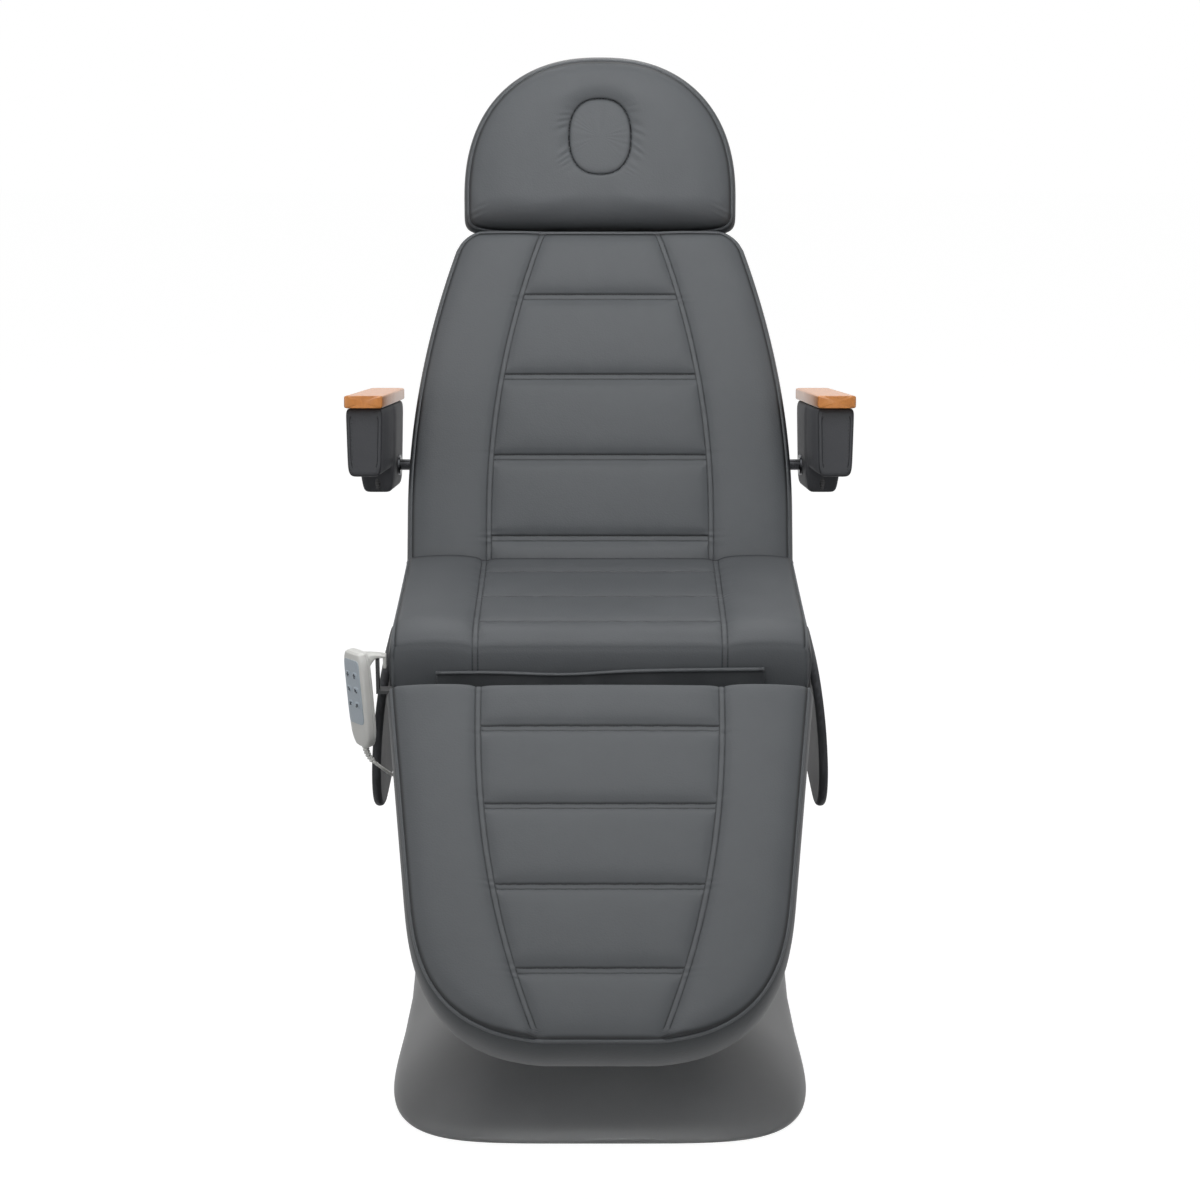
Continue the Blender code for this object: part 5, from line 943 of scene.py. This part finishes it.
def on_case(x, z, proud):
    """Points of the front shell's face over x and z, raised by proud. Its section is a squared oval of power
    4: y = -deep (1 - (x / wide)^4)^(1/4)."""
    w, d = (np.interp(-z / CASE_LONG, case_steps[:, 0], case_steps[:, k]) for k in (1, 2))
    y = -CASE_DEEP * d * (1 - np.clip(abs(x) / (CASE_HALF * w), 0, .999) ** 4) ** .25
    return in_hand(x, y - proud, z)


split = np.arcsin((.002 / CASE_DEEP) ** 2)
for half, angles in (("front", np.linspace(-np.pi - split, split, 57)),
                     ("rear", np.linspace(split, np.pi - split, 49))):
    across, back = oval(angles, 4)
    back = np.maximum(back, .0023 / CASE_DEEP) if half == "rear" else np.minimum(back, .0018 / CASE_DEEP)
    shell = in_hand(CASE_HALF * wide * across, CASE_DEEP * deep * back, -CASE_LONG * down)
    over, shut = np.linspace(0, 1, 9)[:, None], np.linspace(0, 1, 15)[:, None, None]
    parts = [shell, shell[:, -1:] * (1 - over) + shell[:, :1] * over]
    for row in (shell[0], shell[-1]):
        chord = row[-1] + (row[0] - row[-1]) * np.linspace(1, 0, len(row))[:, None]
        parts.append(row * (1 - shut) + chord * shut)
    closed = [False] * len(parts)
    if half == "rear":
        t = np.linspace(0, 1, 25)[:, None]
        high, low = .6540 - .0030 * t ** 2, .6458 - .030 * np.clip((.68 - t) / .42, 0, 1) ** 1.6
        thick = (high - low) / 2 * np.minimum(1, 6 * (1 - t)) ** .5
        aside, upward = oval(np.linspace(0, 2 * np.pi, 40, endpoint=False), 4)
        hook = room(-.360 + .0430 * t, -.165 + (.0115 - .0050 * t) * aside * (thick > 0),
                    (high + low) / 2 + thick * upward)
        hook = np.concatenate([np.repeat(hook[:1].mean(1, keepdims=True), 40, 1), hook])
        tongue = squared_box(room, -.3200, .6403, .0025, .0108, ends_in(-.1705, -.1595, .0010), 8, 32)
        parts += [hook, tongue]
        closed += [True, True]
    case = sew(f"handset_{half}_case", parts, off_white_abs, "handset", sharp=50,
               wrapped=closed)
    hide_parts(f"handset_{half}_shell")

# Printed polyester film: matt blue-grey, with a very slight orange peel, and dark screen-printed signs.
keypad_film, tree, spot = new_finish("printed_keypad_film")
peel = noise(tree, spot, .0025)
coat(tree, between(tree, peel, "#bcc7d1", "#c8d3dc"), .42, IOR=1.57, Normal=relief(tree, peel, .1, .0003))
ink, tree, spot = new_finish("dark_screen_ink")
coat(tree, between(tree, noise(tree, spot, .001), "#333c46", "#465059"), .5)

ring = np.array([0, .25, .5, .7, .85, .94, .98, 1, 1])[:, None]
proud = np.array([FILM_PROUD] * 8 + [FILM_UNDER])[:, None]
across, along = oval(np.linspace(0, 2 * np.pi, 96, endpoint=False), 10)
x, z = .0182 * ring * across, -.0615 + .0500 * ring * along
film = sew("keypad_film", [on_case(x, z, proud), on_case(x[::-1], z[::-1], FILM_UNDER)], keypad_film,
           "handset", sharp=50)
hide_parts("keypad_panel")

KEY_HALF, HEAD_HALF, STEM_HALF = .00505, .0034, .0013
ring = np.array([0, .4, .7, .86, .95, 1, 1])[:, None]
rise = np.array([.0024, .00235, .0022, .0020, .0017, .0012, KEY_UNDER])[:, None]
across, along = oval(np.linspace(0, 2 * np.pi, 48, endpoint=False), 4.5)
arrow_x = np.array([(-HEAD_HALF, 0, 0, HEAD_HALF), (-HEAD_HALF, -STEM_HALF, STEM_HALF, HEAD_HALF),
                    *[(-STEM_HALF, -STEM_HALF, STEM_HALF, STEM_HALF)] * 2])
arrow_z = np.array([(-.0005, .0040, .0040, -.0005), *[(-.0005,) * 4] * 2, (-.0040,) * 4])
for row, (name, tilt) in enumerate((("lift", 0), ("back", 40), ("leg", -40))):
    for way, sign in (("down", -1), ("up", 1)):
        node = f"key_{name}_{way}"
        mid_x, mid_z = sign * .00825, -.035 - .023 * row
        x, z = mid_x + KEY_HALF * ring * across, mid_z + KEY_HALF * ring * along
        key = sew(node + "_cap", [on_case(x, z, rise), on_case(x[::-1], z[::-1], KEY_UNDER)], keypad_film,
                  node + "_body", sharp=60)
        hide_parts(node)
        c, s = np.cos(np.radians(tilt)), np.sin(np.radians(tilt))
        x, z = mid_x + arrow_x * c - sign * arrow_z * s, mid_z + arrow_x * s + sign * arrow_z * c
        top, low = on_case(x, z, .00265), on_case(x, z, .0020)
        parts = [top, low, np.stack([rim_of(top), rim_of(low)])]
        sew(node + "_arrow", parts, ink, node + "_body", wrapped=(False, False, True))

# The strain relief: a soft ribbed sleeve moulded on the cord, straight at the case and bent to the wing.
first, last = in_hand(0, 0, -CASE_LONG - .0003), cord_route[0]
knee = first - hand_axes[:, 2] * .014
t = np.linspace(0, 1, 65)[:, None]
sleeve_path = first * (1 - t) ** 2 + 2 * knee * t * (1 - t) + last * t ** 2
ribs = .0047 - .0012 * t[:, 0] + .0007 * np.tanh(3 * np.sin(t[:, 0] * 2 * np.pi * 6))
sleeve = tube(sleeve_path, ribs, (0, 1, 0), 20)
sleeve = sew("ribbed_strain_relief", [sleeve], off_white_abs, "handset", sharp=60)
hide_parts("strain_relief")
